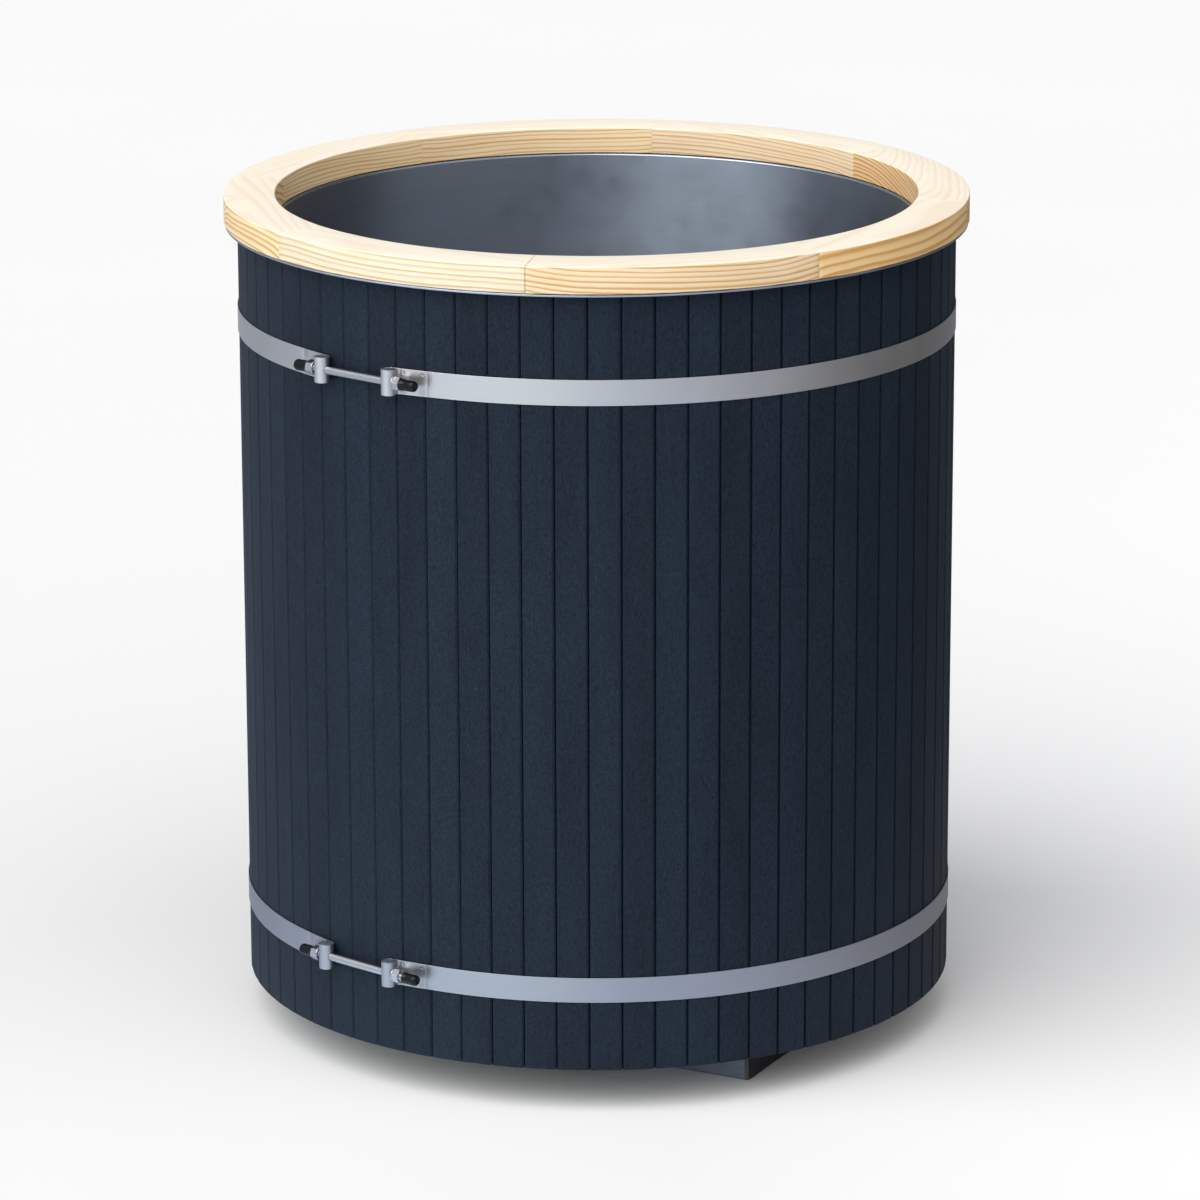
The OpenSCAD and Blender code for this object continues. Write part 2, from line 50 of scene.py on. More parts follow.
# ------------------------------------------------------------------ camera
CAM_PITCH, CAM_ROLL, CAM_YAW = 0.2695, -0.0027, 0.0004
fwd = Vector((math.sin(CAM_YAW) * math.cos(CAM_PITCH), math.cos(CAM_YAW) * math.cos(CAM_PITCH), -math.sin(CAM_PITCH)))
right = fwd.cross(Vector((0, 0, 1))).normalized()
up = right.cross(fwd)
cam_x = right * math.cos(CAM_ROLL) + up * math.sin(CAM_ROLL)
cam_y = up * math.cos(CAM_ROLL) - right * math.sin(CAM_ROLL)
cam_data = bpy.data.cameras.new("camera")
cam_data.lens = 176.17
cam_data.sensor_width = 36.0
cam_data.clip_end = 200
camera = bpy.data.objects.new("camera", cam_data)
scene.collection.objects.link(camera)
camera.matrix_world = Matrix((
    (cam_x.x, cam_y.x, -fwd.x, 0.0),
    (cam_x.y, cam_y.y, -fwd.y, -8.0225),
    (cam_x.z, cam_y.z, -fwd.z, 2.8014),
    (0, 0, 0, 1)))
scene.camera = camera


# ------------------------------------------------------------------ mesh helpers
def finish_mesh(me, sharp):
    bm = bmesh.new()
    bm.from_mesh(me)
    bmesh.ops.recalc_face_normals(bm, faces=bm.faces)
    bm.to_mesh(me)
    bm.free()
    me.polygons.foreach_set("use_smooth", [True] * len(me.polygons))
    me.set_sharp_from_angle(angle=rad(sharp))
    me.update()


def piece(name, verts, faces, mats, body, replaces=(), sharp=32, vectors=None, floats=None, matrix=None,
          cut=None, face_mats=None):
    me = bpy.data.meshes.new(name)
    me.from_pydata([tuple(v) for v in verts], [], faces)
    for key, values in (vectors or {}).items():
        at = me.attributes.new(key, "FLOAT_VECTOR", "POINT")
        at.data.foreach_set("vector", np.asarray(values, np.float32).ravel())
    for key, values in (floats or {}).items():
        at = me.attributes.new(key, "FLOAT", "POINT")
        at.data.foreach_set("value", np.asarray(values, np.float32).ravel())
    if matrix is not None:
        me.transform(matrix)
    for m in mats if isinstance(mats, (list, tuple)) else [mats]:
        me.materials.append(m)
    if face_mats is not None:
        me.polygons.foreach_set("material_index", face_mats)
    finish_mesh(me, sharp)
    ob = bpy.data.objects.new(name, me)
    scene.collection.objects.link(ob)
    if cut:
        cutters = []
        for cv, cf in cut:
            cm = bpy.data.meshes.new("cutter")
            cm.from_pydata([tuple(v) for v in cv], [], cf)
            finish_mesh(cm, 32)
            co = bpy.data.objects.new("cutter", cm)
            scene.collection.objects.link(co)
            cutters.append(co)
            md = ob.modifiers.new("cut", "BOOLEAN")
            md.operation = "DIFFERENCE"
            md.solver = "EXACT"
            md.object = co
        bpy.context.view_layer.update()
        dg = bpy.context.evaluated_depsgraph_get()
        new = bpy.data.meshes.new_from_object(ob.evaluated_get(dg))
        ob.modifiers.clear()
        old = ob.data
        ob.data = new
        new.name = name
        bpy.data.meshes.remove(old)
        for co in cutters:
            cm = co.data
            bpy.data.objects.remove(co)
            bpy.data.meshes.remove(cm)
        me = ob.data
        me.polygons.foreach_set("use_smooth", [True] * len(me.polygons))
        me.set_sharp_from_angle(angle=rad(sharp))
    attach(ob, body)
    if replaces:
        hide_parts(*replaces)
    return ob


def lathe(profile, n=96, closed=True, a0=0.0):
    """Turned form about Z from (r, z) pairs in millimetres; r = 0 becomes a pole."""
    verts, rings = [], []
    for r, z in profile:
        if r < 1e-6:
            rings.append([len(verts)])
            verts.append((0.0, 0.0, z * MM))
        else:
            rings.append(list(range(len(verts), len(verts) + n)))
            for k in range(n):
                a = a0 + 2 * PI * k / n
                verts.append((r * MM * math.cos(a), r * MM * math.sin(a), z * MM))
    pairs = list(zip(rings, rings[1:]))
    if closed:
        pairs.append((rings[-1], rings[0]))
    faces = []
    for a, b in pairs:
        if len(a) == 1 and len(b) == 1:
            continue
        for k in range(n):
            j = (k + 1) % n
            if len(a) == 1:
                faces.append((a[0], b[k], b[j]))
            elif len(b) == 1:
                faces.append((a[k], b[0], a[j]))
            else:
                faces.append((a[k], b[k], b[j], a[j]))
    return verts, faces


def sweep(rings, cap=True, closed=False):
    m = len(rings[0])
    verts = [p for r in rings for p in r]
    faces = []
    last = len(rings) if closed else len(rings) - 1
    for i in range(last):
        a, b = i * m, ((i + 1) % len(rings)) * m
        for k in range(m):
            j = (k + 1) % m
            faces.append((a + k, a + j, b + j, b + k))
    if cap and not closed:
        faces.append(tuple(range(m - 1, -1, -1)))
        faces.append(tuple(range((len(rings) - 1) * m, len(rings) * m)))
    return verts, faces


def join(parts):
    verts, faces = [], []
    for v, f in parts:
        n = len(verts)
        verts += list(v)
        faces += [tuple(i + n for i in q) for q in f]
    return verts, faces


def fillet(pts, n=4):
    """Closed outline from (x, y, radius); each corner is rounded with n steps."""
    out = []
    m = len(pts)
    for i in range(m):
        p = np.array(pts[i][:2], float)
        a = np.array(pts[i - 1][:2], float)
        b = np.array(pts[(i + 1) % m][:2], float)
        r = pts[i][2]
        if r <= 0:
            out.append(tuple(p))
            continue
        la, lb = np.linalg.norm(a - p), np.linalg.norm(b - p)
        u, v = (a - p) / la, (b - p) / lb
        ang = math.acos(max(-1, min(1, float(u @ v))))
        t = min(r / math.tan(ang / 2), 0.49 * la, 0.49 * lb)
        r2 = t * math.tan(ang / 2)
        c = p + (u + v) / np.linalg.norm(u + v) * (r2 / math.sin(ang / 2))
        p0, p1 = p + u * t, p + v * t
        b0 = math.atan2(*(p0 - c)[::-1])
        d = (math.atan2(*(p1 - c)[::-1]) - b0 + PI) % (2 * PI) - PI
        for k in range(n + 1):
            w = b0 + d * k / n
            out.append((c[0] + r2 * math.cos(w), c[1] + r2 * math.sin(w)))
    return out


def hash01(*k):
    """Repeatable number from 0 to 1."""
    s = math.sin(sum((i + 1) * 12.9898 * float(x) for i, x in enumerate(k)) + 4.1414) * 43758.5453
    return s - math.floor(s)


# ------------------------------------------------------------------ node helpers
class Mat:
    def __init__(self, name):
        self.m = bpy.data.materials.new(name)
        self.m.use_nodes = True
        self.t = self.m.node_tree
        self.t.nodes.clear()
        self.out = self.t.nodes.new("ShaderNodeOutputMaterial")
        self.b = self.t.nodes.new("ShaderNodeBsdfPrincipled")
        self.t.links.new(self.b.outputs[0], self.out.inputs["Surface"])

    def put(self, sock, val):
        if isinstance(val, bpy.types.NodeSocket):
            self.t.links.new(val, sock)
        elif isinstance(val, (tuple, list)) and hasattr(sock.default_value, "__len__"):
            n = len(sock.default_value)
            sock.default_value = (list(val) + [1.0] * n)[:n]
        else:
            sock.default_value = val

    def node(self, kind, out=0, props=None, **ins):
        n = self.t.nodes.new(kind)
        for k, v in (props or {}).items():
            setattr(n, k, v)
        for k, v in ins.items():
            self.put(n.inputs[int(k[1:])] if k[0] == "i" and k[1:].isdigit() else n.inputs[k.replace("_", " ")], v)
        return n.outputs[out]

    def math(self, op, a, b=0.0, c=0.0, clamp=False):
        return self.node("ShaderNodeMath", props={"operation": op, "use_clamp": clamp}, i0=a, i1=b, i2=c)

    def vec(self, op, a, b=(0, 0, 0)):
        return self.node("ShaderNodeVectorMath", 1 if op in ("DISTANCE", "LENGTH", "DOT_PRODUCT") else 0,
                         props={"operation": op}, i0=a, i1=b)

    def attr(self, name, out="Vector"):
        n = self.t.nodes.new("ShaderNodeAttribute")
        n.attribute_name = name
        return n.outputs[out]

    def obj(self):
        return self.t.nodes.new("ShaderNodeTexCoord").outputs["Object"]

    def split(self, v):
        n = self.t.nodes.new("ShaderNodeSeparateXYZ")
        self.put(n.inputs[0], v)
        return n.outputs[0], n.outputs[1], n.outputs[2]

    def xyz(self, x, y, z):
        return self.node("ShaderNodeCombineXYZ", i0=x, i1=y, i2=z)

    def noise(self, v, scale=1.0, detail=2.0, rough=0.5, dist=0.0):
        return self.node("ShaderNodeTexNoise", "Fac", Vector=v, Scale=scale, Detail=detail, Roughness=rough, Distortion=dist)

    def voro(self, v, scale=1.0, feature="F1"):
        return self.node("ShaderNodeTexVoronoi", "Distance", props={"feature": feature}, Vector=v, Scale=scale)

    def white(self, w):
        return self.node("ShaderNodeTexWhiteNoise", "Value", props={"noise_dimensions": "1D"}, W=w)

    def ramp(self, fac, stops, ease="LINEAR"):
        n = self.t.nodes.new("ShaderNodeValToRGB")
        cr = n.color_ramp
        cr.interpolation = ease
        while len(cr.elements) < len(stops):
            cr.elements.new(0.5)
        for e, (p, c) in zip(cr.elements, stops):
            e.position = p
            e.color = (c, c, c, 1) if not isinstance(c, (tuple, list)) else (*c[:3], 1)
        self.put(n.inputs[0], fac)
        return n.outputs[0]

    def mix(self, fac, a, b, blend="MIX"):
        n = self.t.nodes.new("ShaderNodeMix")
        n.data_type = "RGBA"
        n.blend_type = blend
        self.put(n.inputs[0], fac)
        self.put(n.inputs[6], a)
        self.put(n.inputs[7], b)
        return n.outputs[2]

    def range(self, v, a, b, c, d):
        return self.node("ShaderNodeMapRange", i0=v, i1=a, i2=b, i3=c, i4=d)

    def bump(self, height, dist, strength=1.0, normal=None):
        n = self.t.nodes.new("ShaderNodeBump")
        n.inputs["Strength"].default_value = strength
        n.inputs["Distance"].default_value = dist
        self.put(n.inputs["Height"], height)
        if normal is not None:
            self.put(n.inputs["Normal"], normal)
        return n.outputs[0]

    def set(self, **kw):
        for k, v in kw.items():
            self.put(self.b.inputs[k.replace("_", " ")], v)
        return self.m


# ------------------------------------------------------------------ dimensions (millimetres, as the CAD)
TUB_R, STAVE_T, STAVE_N, STAVE_GAP, STAVE_EDGE, STAVE_DROP, GROOVE_PHI = 500.0, 20.0, 70, 1.9, 2.8, 2.2, -1.42
Z_BASE, Z_PANEL, Z_FOAM, Z_FLOOR = 60.0, 81.0, 121.0, 123.0
Z_STAVE, Z_FLANGE, Z_RIM, Z_TOP = 1140.0, 1141.5, 1142.3, 1179.3
RIM_RO, RIM_RI, LINER_R, LINER_T, BEND_R, FLANGE_R, LIP_H = 518.5, 446.5, 444.0, 1.5, 3.5, 517.0, 3.0
STRAP_W, STRAP_T, STRAP_RM = 35.0, 1.0, 500.8
EYE_RO, EYE_RM, EYE_RUN, BACK_R, TAIL_L, TAIL_GAP = 10.4, 9.9, 50.0, 4.0, 54.0, 0.1
TAIL_V = STRAP_T + TAIL_GAP
EYE_C = math.hypot(EYE_RUN, STRAP_RM + EYE_RM)
EYE_A = math.degrees(math.atan(EYE_RUN / (STRAP_RM + EYE_RM)))
BACK_A = math.degrees(math.asin((BACK_R + TAIL_V - EYE_RM) / (EYE_RM + BACK_R)))
BEND_X = (EYE_RM + BACK_R) * math.cos(rad(BACK_A))
NUT_X, NUT_H, NUT_AF, WASHER_X, CAP_L, CAP_BORE = 12.85, 10.0, 18.0, 10.75, 24.0, 20.0
CLAMPS = {
    "upper": dict(l=-45.9, r=-32.65, z=1006.2, caps=(23.15, 23.95)),
    "lower": dict(l=-46.95, r=-33.95, z=175.3, caps=(23.35, 28.95)),
}
BASE_TURN, RUNNER_L, RUNNER_W, RUNNER_SPAN = 27.5, 718.0, 145.0, 482.0
PIPE_Z = 24.5


def on_ring(r, phi, z):
    return (r * MM * math.sin(rad(phi)), -r * MM * math.cos(rad(phi)), z * MM)


# ------------------------------------------------------------------ materials
def pine(name, seed, pith, tilt, spacing, contrast, early, late, knots=(), sweep_x=0.0, warp=5.0, dark_lower_edge=0.0):
    """Softwood with growth rings in three dimensions; the attribute gc runs along, across and up the board in metres."""
    k = Mat(name)
    p0 = k.vec("SCALE", k.attr("gc"))
    p0.node.inputs["Scale"].default_value = 1000.0
    p = k.vec("ADD", p0, (seed * 917.0, seed * 313.0, seed * 151.0))
    broad = k.noise(k.vec("MULTIPLY", p, (0.0035, 0.014, 0.014)), 1.0, 2.0, 0.5)
    mid = k.noise(k.vec("MULTIPLY", p, (0.012, 0.06, 0.06)), 1.0, 2.0, 0.5)
    x, y, z = k.split(p0)
    zc = k.math("SUBTRACT", z, k.math("ADD", k.math("MULTIPLY", x, tilt[1]), k.math("MULTIPLY", k.math("MULTIPLY", x, x), sweep_x)))
    zc = k.math("SUBTRACT", zc, pith[1])
    yc = k.math("SUBTRACT", k.math("SUBTRACT", y, pith[0]), k.math("MULTIPLY", x, tilt[0]))
    d = k.math("SQRT", k.math("ADD", k.math("MULTIPLY", zc, zc), k.math("MULTIPLY", yc, yc)))
    d = k.math("ADD", d, k.math("MULTIPLY", k.math("SUBTRACT", broad, 0.5), warp * 2))
    d = k.math("ADD", d, k.math("MULTIPLY", k.math("SUBTRACT", mid, 0.5), 2.2))
    dark = None
    for kx, ky, kz, amp, sx, sr, core in knots:
        q = k.vec("MULTIPLY", k.vec("SUBTRACT", p0, (kx, ky, kz)), (1.0 / sx, 1.0 / sr, 1.0 / sr))
        g = k.math("POWER", 2.718, k.math("MULTIPLY", k.vec("DOT_PRODUCT", q, q), -1.0))
        d = k.math("ADD", d, k.math("MULTIPLY", g, amp))
        if core:
            g2 = k.math("MULTIPLY", k.math("POWER", g, 5.0), core)
            dark = g2 if dark is None else k.math("MAXIMUM", dark, g2)
    ring = k.math("DIVIDE", d, spacing)
    uneven = k.noise(k.xyz(k.math("MULTIPLY", ring, 0.55), seed * 7.7, 0.0), 1.0, 1.0, 0.5)      # good and poor growing years
    ring = k.math("ADD", ring, k.math("MULTIPLY", uneven, 0.9))
    frac = k.math("FRACT", ring)
    power = k.range(k.white(k.math("FLOOR", ring)), 0.0, 1.0, 0.45, 1.0)
    band = k.ramp(frac, [(0.0, 0.35), (0.06, 0.0), (0.42, 0.03), (0.62, 0.28), (0.79, 1.0), (0.94, 1.0), (1.0, 0.35)], "EASE")
    fine = k.noise(k.vec("MULTIPLY", p, (0.035, 1.1, 1.1)), 1.0, 3.0, 0.6)
    patch = k.noise(k.vec("MULTIPLY", p, (0.006, 0.03, 0.03)), 1.0, 2.0, 0.5)
    pore = k.noise(k.vec("MULTIPLY", p, (0.16, 3.2, 3.2)), 1.0, 1.0, 0.5)
    f = k.math("MULTIPLY", k.math("MULTIPLY", band, power), contrast)
    f = k.math("MULTIPLY", f, k.range(patch, 0.3, 0.7, 0.75, 1.2), clamp=True)
    face = k.range(z, 16.6, 18.2, 1.0, 0.0)                  # painted highlight: the top is painted paler than the sides, with its grain, warm patches and pores weakened, standing in for the light falling on it
    f = k.math("MULTIPLY", f, k.range(face, 0.0, 1.0, 0.16, 1.0))
    col = k.mix(f, k.mix(face, (0.905, 0.828, 0.690), early), late)
    warm = k.math("MULTIPLY", k.range(patch, 0.35, 0.75, 0.0, 0.26), k.range(face, 0.0, 1.0, 0.26, 1.0))
    col = k.mix(warm, col, (late[0] * 1.15, late[1] * 1.3, late[2] * 1.4), "MIX")
    col = k.mix(k.range(face, 0.0, 1.0, 0.05, 0.18), col, k.ramp(fine, [(0.3, (0.74, 0.66, 0.54)), (0.7, (1.0, 1.0, 1.0))]), "MULTIPLY")
    col = k.mix(k.math("MULTIPLY", k.range(pore, 0.66, 0.76, 0.0, 0.22), k.range(face, 0.0, 1.0, 0.3, 1.0)), col,
                (late[0] * 0.72, late[1] * 0.62, late[2] * 0.5))
    if dark is not None:
        col = k.mix(dark, col, (0.20, 0.085, 0.03))
    if dark_lower_edge:                                                # darker, uneven brown line along the lower arris
        e = k.range(k.math("ADD", z, k.math("MULTIPLY", fine, 1.2)), -18.0, -16.3, 1.0, 0.0)
        n = k.ramp(k.noise(k.vec("MULTIPLY", p, (0.014, 0.05, 0.02)), 1.0, 4.0, 0.65), [(0.44, 0.0), (0.56, 1.0)])
        col = k.mix(k.math("MULTIPLY", k.math("MULTIPLY", e, n), dark_lower_edge), col, (0.11, 0.045, 0.018))
    h = k.math("ADD", k.math("MULTIPLY", f, 0.6), k.math("MULTIPLY", fine, 0.4))
    nrm = k.bump(h, 0.00012, 0.6)
    return k.set(Base_Color=col, Roughness=k.range(f, 0.0, 1.0, 0.52, 0.40), Specular_IOR_Level=0.26, Normal=nrm)


# one board each: seed, pith (across, up), tilt, ring spacing, contrast, shade of early and late wood, knots
# boards 2 to 6, seen on the right and round the back, have their early wood set lighter: painted light standing in for
# light from the right; the other differences between boards are their own tone
BOARDS = [
    dict(seed=1, pith=(38, 88), tilt=(0.02, -0.030), spacing=7.0, contrast=1.55, early=(0.88, 0.69, 0.45), late=(0.64, 0.345, 0.125),
         warp=3.5, dark_lower_edge=0.95),
    dict(seed=2, pith=(20, -104), tilt=(-0.05, 0.022), spacing=14.5, contrast=1.4, early=(0.97, 0.67, 0.33), late=(0.70, 0.37, 0.115),
         warp=7.0, dark_lower_edge=0.8),
    dict(seed=3, pith=(-60, -66), tilt=(0.04, 0.16), spacing=5.6, contrast=1.5, early=(0.90, 0.65, 0.37), late=(0.60, 0.27, 0.075),
         warp=4.0),
    dict(seed=4, pith=(-40, -106), tilt=(0.02, 0.060), spacing=5.6, contrast=1.3, early=(0.96, 0.79, 0.56), late=(0.70, 0.41, 0.19),
         sweep_x=0.00006, warp=5.0),
    dict(seed=5, pith=(-46, 116), tilt=(-0.02, -0.012), spacing=5.9, contrast=1.4, early=(0.99, 0.78, 0.50), late=(0.68, 0.385, 0.155),
         warp=4.5),
    dict(seed=6, pith=(-52, 120), tilt=(0.01, 0.020), spacing=5.6, contrast=1.3, early=(0.98, 0.76, 0.47), late=(0.66, 0.38, 0.15),
         warp=6.0),
    dict(seed=7, pith=(34, -84), tilt=(0.05, 0.030), spacing=8.2, contrast=1.6, early=(0.93, 0.75, 0.49), late=(0.70, 0.36, 0.11),
         knots=((-46.0, 36.0, 8.0, 15.0, 26.0, 20.0, 0.0), (-66.0, 30.0, -6.0, -7.0, 16.0, 14.0, 0.0)), warp=7.0),
    dict(seed=8, pith=(15, -140), tilt=(0.02, -0.014), spacing=7.4, contrast=1.5, early=(0.85, 0.74, 0.56), late=(0.66, 0.43, 0.215),
         warp=4.0, dark_lower_edge=0.5),
]


def cladding_mat():
    """Dark wood-plastic board with a pressed grain; tc runs across and along each board in millimetres."""
    k = Mat("cladding_board")
    tc = k.attr("tc")
    sid = k.attr("sid", "Fac")
    grain = k.noise(k.vec("MULTIPLY", tc, (0.85, 0.028, 1.0)), 1.0, 4.0, 0.6)
    wide = k.noise(k.vec("MULTIPLY", tc, (0.13, 0.0065, 1.0)), 1.0, 2.0, 0.5, 0.8)
    arches = k.ramp(k.math("FRACT", k.math("MULTIPLY", wide, 9.0)), [(0.0, 0.0), (0.10, 1.0), (0.22, 0.1), (1.0, 0.0)], "EASE")
    where = k.ramp(k.noise(k.vec("MULTIPLY", tc, (0.02, 0.004, 0.37)), 1.0, 1.0, 0.5), [(0.46, 0.0), (0.58, 1.0)])
    lines = k.math("MULTIPLY", arches, where)
    pebble = k.noise(k.vec("MULTIPLY", tc, (1.5, 0.62, 1.0)), 1.0, 3.0, 0.65)
    coarse = k.noise(k.vec("MULTIPLY", tc, (0.50, 0.22, 1.0)), 1.0, 3.0, 0.68, 0.6)
    ridge = k.ramp(grain, [(0.36, 0.0), (0.47, 1.0), (0.56, 0.55), (0.66, 1.0)], "EASE")
    h = k.math("ADD", k.math("MULTIPLY", ridge, 0.35), k.math("MULTIPLY", pebble, 0.4))
    h = k.math("ADD", h, k.math("MULTIPLY", coarse, 1.3))
    h = k.math("SUBTRACT", h, k.math("MULTIPLY", lines, 0.5))
    tone = k.range(k.white(sid), 0.0, 1.0, 0.90, 1.10)
    blot = k.range(k.noise(k.vec("MULTIPLY", tc, (0.016, 0.0035, 1.0)), 1.0, 2.0, 0.5), 0.3, 0.7, 0.90, 1.12)
    speck = k.range(k.noise(k.vec("MULTIPLY", tc, (1.1, 0.5, 1.0)), 1.0, 2.0, 0.7), 0.35, 0.7, 0.80, 1.35)
    knob = k.range(coarse, 0.34, 0.66, 0.62, 1.46)
    v = k.math("MULTIPLY", k.math("MULTIPLY", tone, blot), k.math("MULTIPLY", speck, knob))
    v = k.math("MULTIPLY", v, k.math("SUBTRACT", 1.0, k.math("MULTIPLY", lines, 0.22)))
    col = k.mix(1.0, (0.0096, 0.0156, 0.0256), k.xyz(v, v, v), "MULTIPLY")
    fleck = k.ramp(k.noise(k.vec("MULTIPLY", tc, (0.95, 0.70, 1.0)), 1.0, 1.0, 0.5), [(0.66, 0.0), (0.74, 1.0)])
    col = k.mix(k.math("MULTIPLY", fleck, 0.55), col, (0.034, 0.044, 0.060))
    scuff = k.ramp(k.noise(k.vec("MULTIPLY", tc, (0.05, 0.011, 0.73)), 1.0, 4.0, 0.7), [(0.60, 0.0), (0.78, 1.0)])
    col = k.mix(k.math("MULTIPLY", scuff, 0.18), col, (0.026, 0.033, 0.045))
    rough = k.math("ADD", k.range(pebble, 0.3, 0.7, 0.42, 0.54), k.math("MULTIPLY", scuff, 0.06))
    return k.set(Base_Color=col, Roughness=rough, Specular_IOR_Level=0.13, Normal=k.bump(h, 0.00045, 0.9))


def steel(name, base, r0, r1, axis="z", aniso=0.0, tangent=None, cloud=0.15, scale=1.0, brush=0.35, attr=None, tint=None, dist=0.00003,
          smear=0.0, grainy=1.0):
    """Brushed steel: the brush lines are stretched noise, high-pitched across the brush and slow along it."""
    k = Mat(name)
    p = k.attr(attr) if attr else k.obj()
    st = {"z": (6.0, 6.0, 900.0), "x": (900.0, 6.0, 6.0), "y": (6.0, 900.0, 6.0), "n": (300.0, 300.0, 300.0)}[axis]
    st2 = tuple(c * 0.33 for c in st)
    b1 = k.noise(k.vec("MULTIPLY", p, tuple(c * scale for c in st)), 1.0, 3.0, 0.65)
    b2 = k.noise(k.vec("MULTIPLY", p, tuple(c * scale for c in st2)), 1.0, 2.0, 0.5)
    b = k.math("ADD", k.math("MULTIPLY", b1, 0.6), k.math("MULTIPLY", b2, 0.4))
    cl = k.noise(p, 5.0 * scale * grainy, 4.0, 0.6, 0.6)
    cl2 = k.noise(p, 21.0 * scale * grainy, 4.0, 0.65, 0.3)
    c = k.math("ADD", k.math("MULTIPLY", cl, 0.65), k.math("MULTIPLY", cl2, 0.35))
    col = k.mix(k.range(b, 0.3, 0.7, 0.0, brush), base, tuple(x * 0.62 for x in base))
    col = k.mix(k.range(c, 0.35, 0.7, 0.0, cloud), col, tuple(min(1.0, x * 1.35) for x in base))
    if tint:
        col = tint(k, col)
    rough = k.math("ADD", k.range(b, 0.3, 0.7, r0, r1), k.range(c, 0.35, 0.65, -0.03 - smear, 0.05 + smear))
    nrm = k.bump(b, dist, 0.7)
    wav = k.bump(k.noise(p, 9.0 * scale, 1.0, 0.4), dist * 8, 0.5, nrm)
    if aniso:
        k.put(k.b.inputs["Anisotropic"], aniso)
        k.put(k.b.inputs["Anisotropic Rotation"], 0.25)      # brushed round the wall, so highlights run up and down it
        tn = k.t.nodes.new("ShaderNodeTangent")
        tn.direction_type = "RADIAL"
        tn.axis = "Z"
        k.t.links.new(tn.outputs[0], k.b.inputs["Tangent"])
    return k.set(Base_Color=col, Metallic=1.0, Roughness=rough, Normal=wav)


def plastic(name, base, rough, speck=0.1, bump=0.00002, coat=0.0, scratch=0.25, spec=0.5):
    k = Mat(name)
    p = k.obj()
    n1 = k.noise(p, 1400.0, 2.0, 0.6)
    n2 = k.noise(p, 60.0, 4.0, 0.6)
    sc = k.ramp(k.noise(k.vec("MULTIPLY", p, (40.0, 40.0, 700.0)), 1.0, 4.0, 0.7), [(0.60, 0.0), (0.74, 1.0)])
    v = k.math("ADD", 1.0 - speck, k.math("MULTIPLY", k.math("ADD", n1, n2), speck))
    col = k.mix(1.0, base, k.xyz(v, v, v), "MULTIPLY")
    col = k.mix(k.math("MULTIPLY", sc, scratch * 0.5), col, tuple(min(1, c * 2.2 + 0.02) for c in base))
    r = k.math("ADD", k.range(n2, 0.3, 0.7, rough - 0.04, rough + 0.08), k.math("MULTIPLY", sc, scratch * 0.3))
    return k.set(Base_Color=col, Roughness=r, Coat_Weight=coat, Specular_IOR_Level=spec, Normal=k.bump(n1, bump, 0.5))


def timber(name, c0, c1, c2, axis, grey=0.0, worn=None, spacing=6.0, rough=0.75):
    """Plain construction timber; axis is the grain direction in its own gc coordinates (x)."""
    k = Mat(name)
    p = k.vec("SCALE", k.attr(axis) if axis else k.obj())
    p.node.inputs["Scale"].default_value = 1000.0
    w = k.noise(k.vec("MULTIPLY", p, (0.004, 0.02, 0.02)), 1.0, 2.0, 0.5)
    x, y, z = k.split(p)
    d = k.math("SQRT", k.math("ADD", k.math("POWER", k.math("ADD", y, 35.0), 2.0), k.math("POWER", k.math("ADD", z, 90.0), 2.0)))
    d = k.math("ADD", d, k.math("MULTIPLY", w, 26.0))
    ring = k.math("DIVIDE", d, spacing)
    band = k.ramp(k.math("FRACT", ring), [(0.0, 0.0), (0.5, 0.1), (0.85, 1.0), (1.0, 0.0)], "EASE")
    fib = k.noise(k.vec("MULTIPLY", p, (0.03, 0.9, 0.9)), 1.0, 4.0, 0.65)
    blot = k.noise(k.vec("MULTIPLY", p, (0.012, 0.05, 0.05)), 1.0, 4.0, 0.6)
    f = k.math("MULTIPLY", band, 0.6)
    col = k.mix(f, c0, c1)
    col = k.mix(k.range(fib, 0.35, 0.7, 0.0, 0.6), col, c2)
    col = k.mix(k.range(blot, 0.38, 0.62, 0.0, 0.75), col, tuple(0.5 * (a + b) for a, b in zip(c0, c2)))
    h = k.math("ADD", k.math("MULTIPLY", band, 0.4), fib)
    if worn:
        col = worn(k, p, col)
    return k.set(Base_Color=col, Roughness=k.range(fib, 0.3, 0.7, rough - 0.08, rough + 0.1), Specular_IOR_Level=0.3,
                 Normal=k.bump(h, 0.0005, 0.7))


M_CLAD = cladding_mat()
# the wall, flange and bend are one steel sheet in three shades: the lighter flange and lip are a painted highlight,
# the darker bend is painted shade that dims its reflections
M_LINER = steel("liner_satin", (0.285, 0.328, 0.395), 0.42, 0.50, "z", aniso=0.86, cloud=0.22, brush=0.28, smear=0.04, grainy=1.7)
M_FLANGE = steel("flange_satin", (0.48, 0.50, 0.56), 0.30, 0.40, "n", cloud=0.2, brush=0.25)
M_BEND = steel("bend_satin", (0.34, 0.38, 0.45), 0.20, 0.30, "n", cloud=0.2, brush=0.25)
M_FLOORPLATE = steel("liner_floor_satin", (0.58, 0.62, 0.69), 0.34, 0.44, "x", cloud=0.3, brush=0.3, smear=0.04)


def weld_tint(k, col):
    w = k.attr("weld", "Fac")
    col = k.mix(k.ramp(w, [(0.02, 0.0), (0.18, 0.35), (0.42, 0.0)]), col, (0.42, 0.38, 0.34))
    col = k.mix(k.ramp(w, [(0.25, 0.0), (0.55, 0.45), (0.9, 0.25)]), col, (0.22, 0.25, 0.34))
    return col


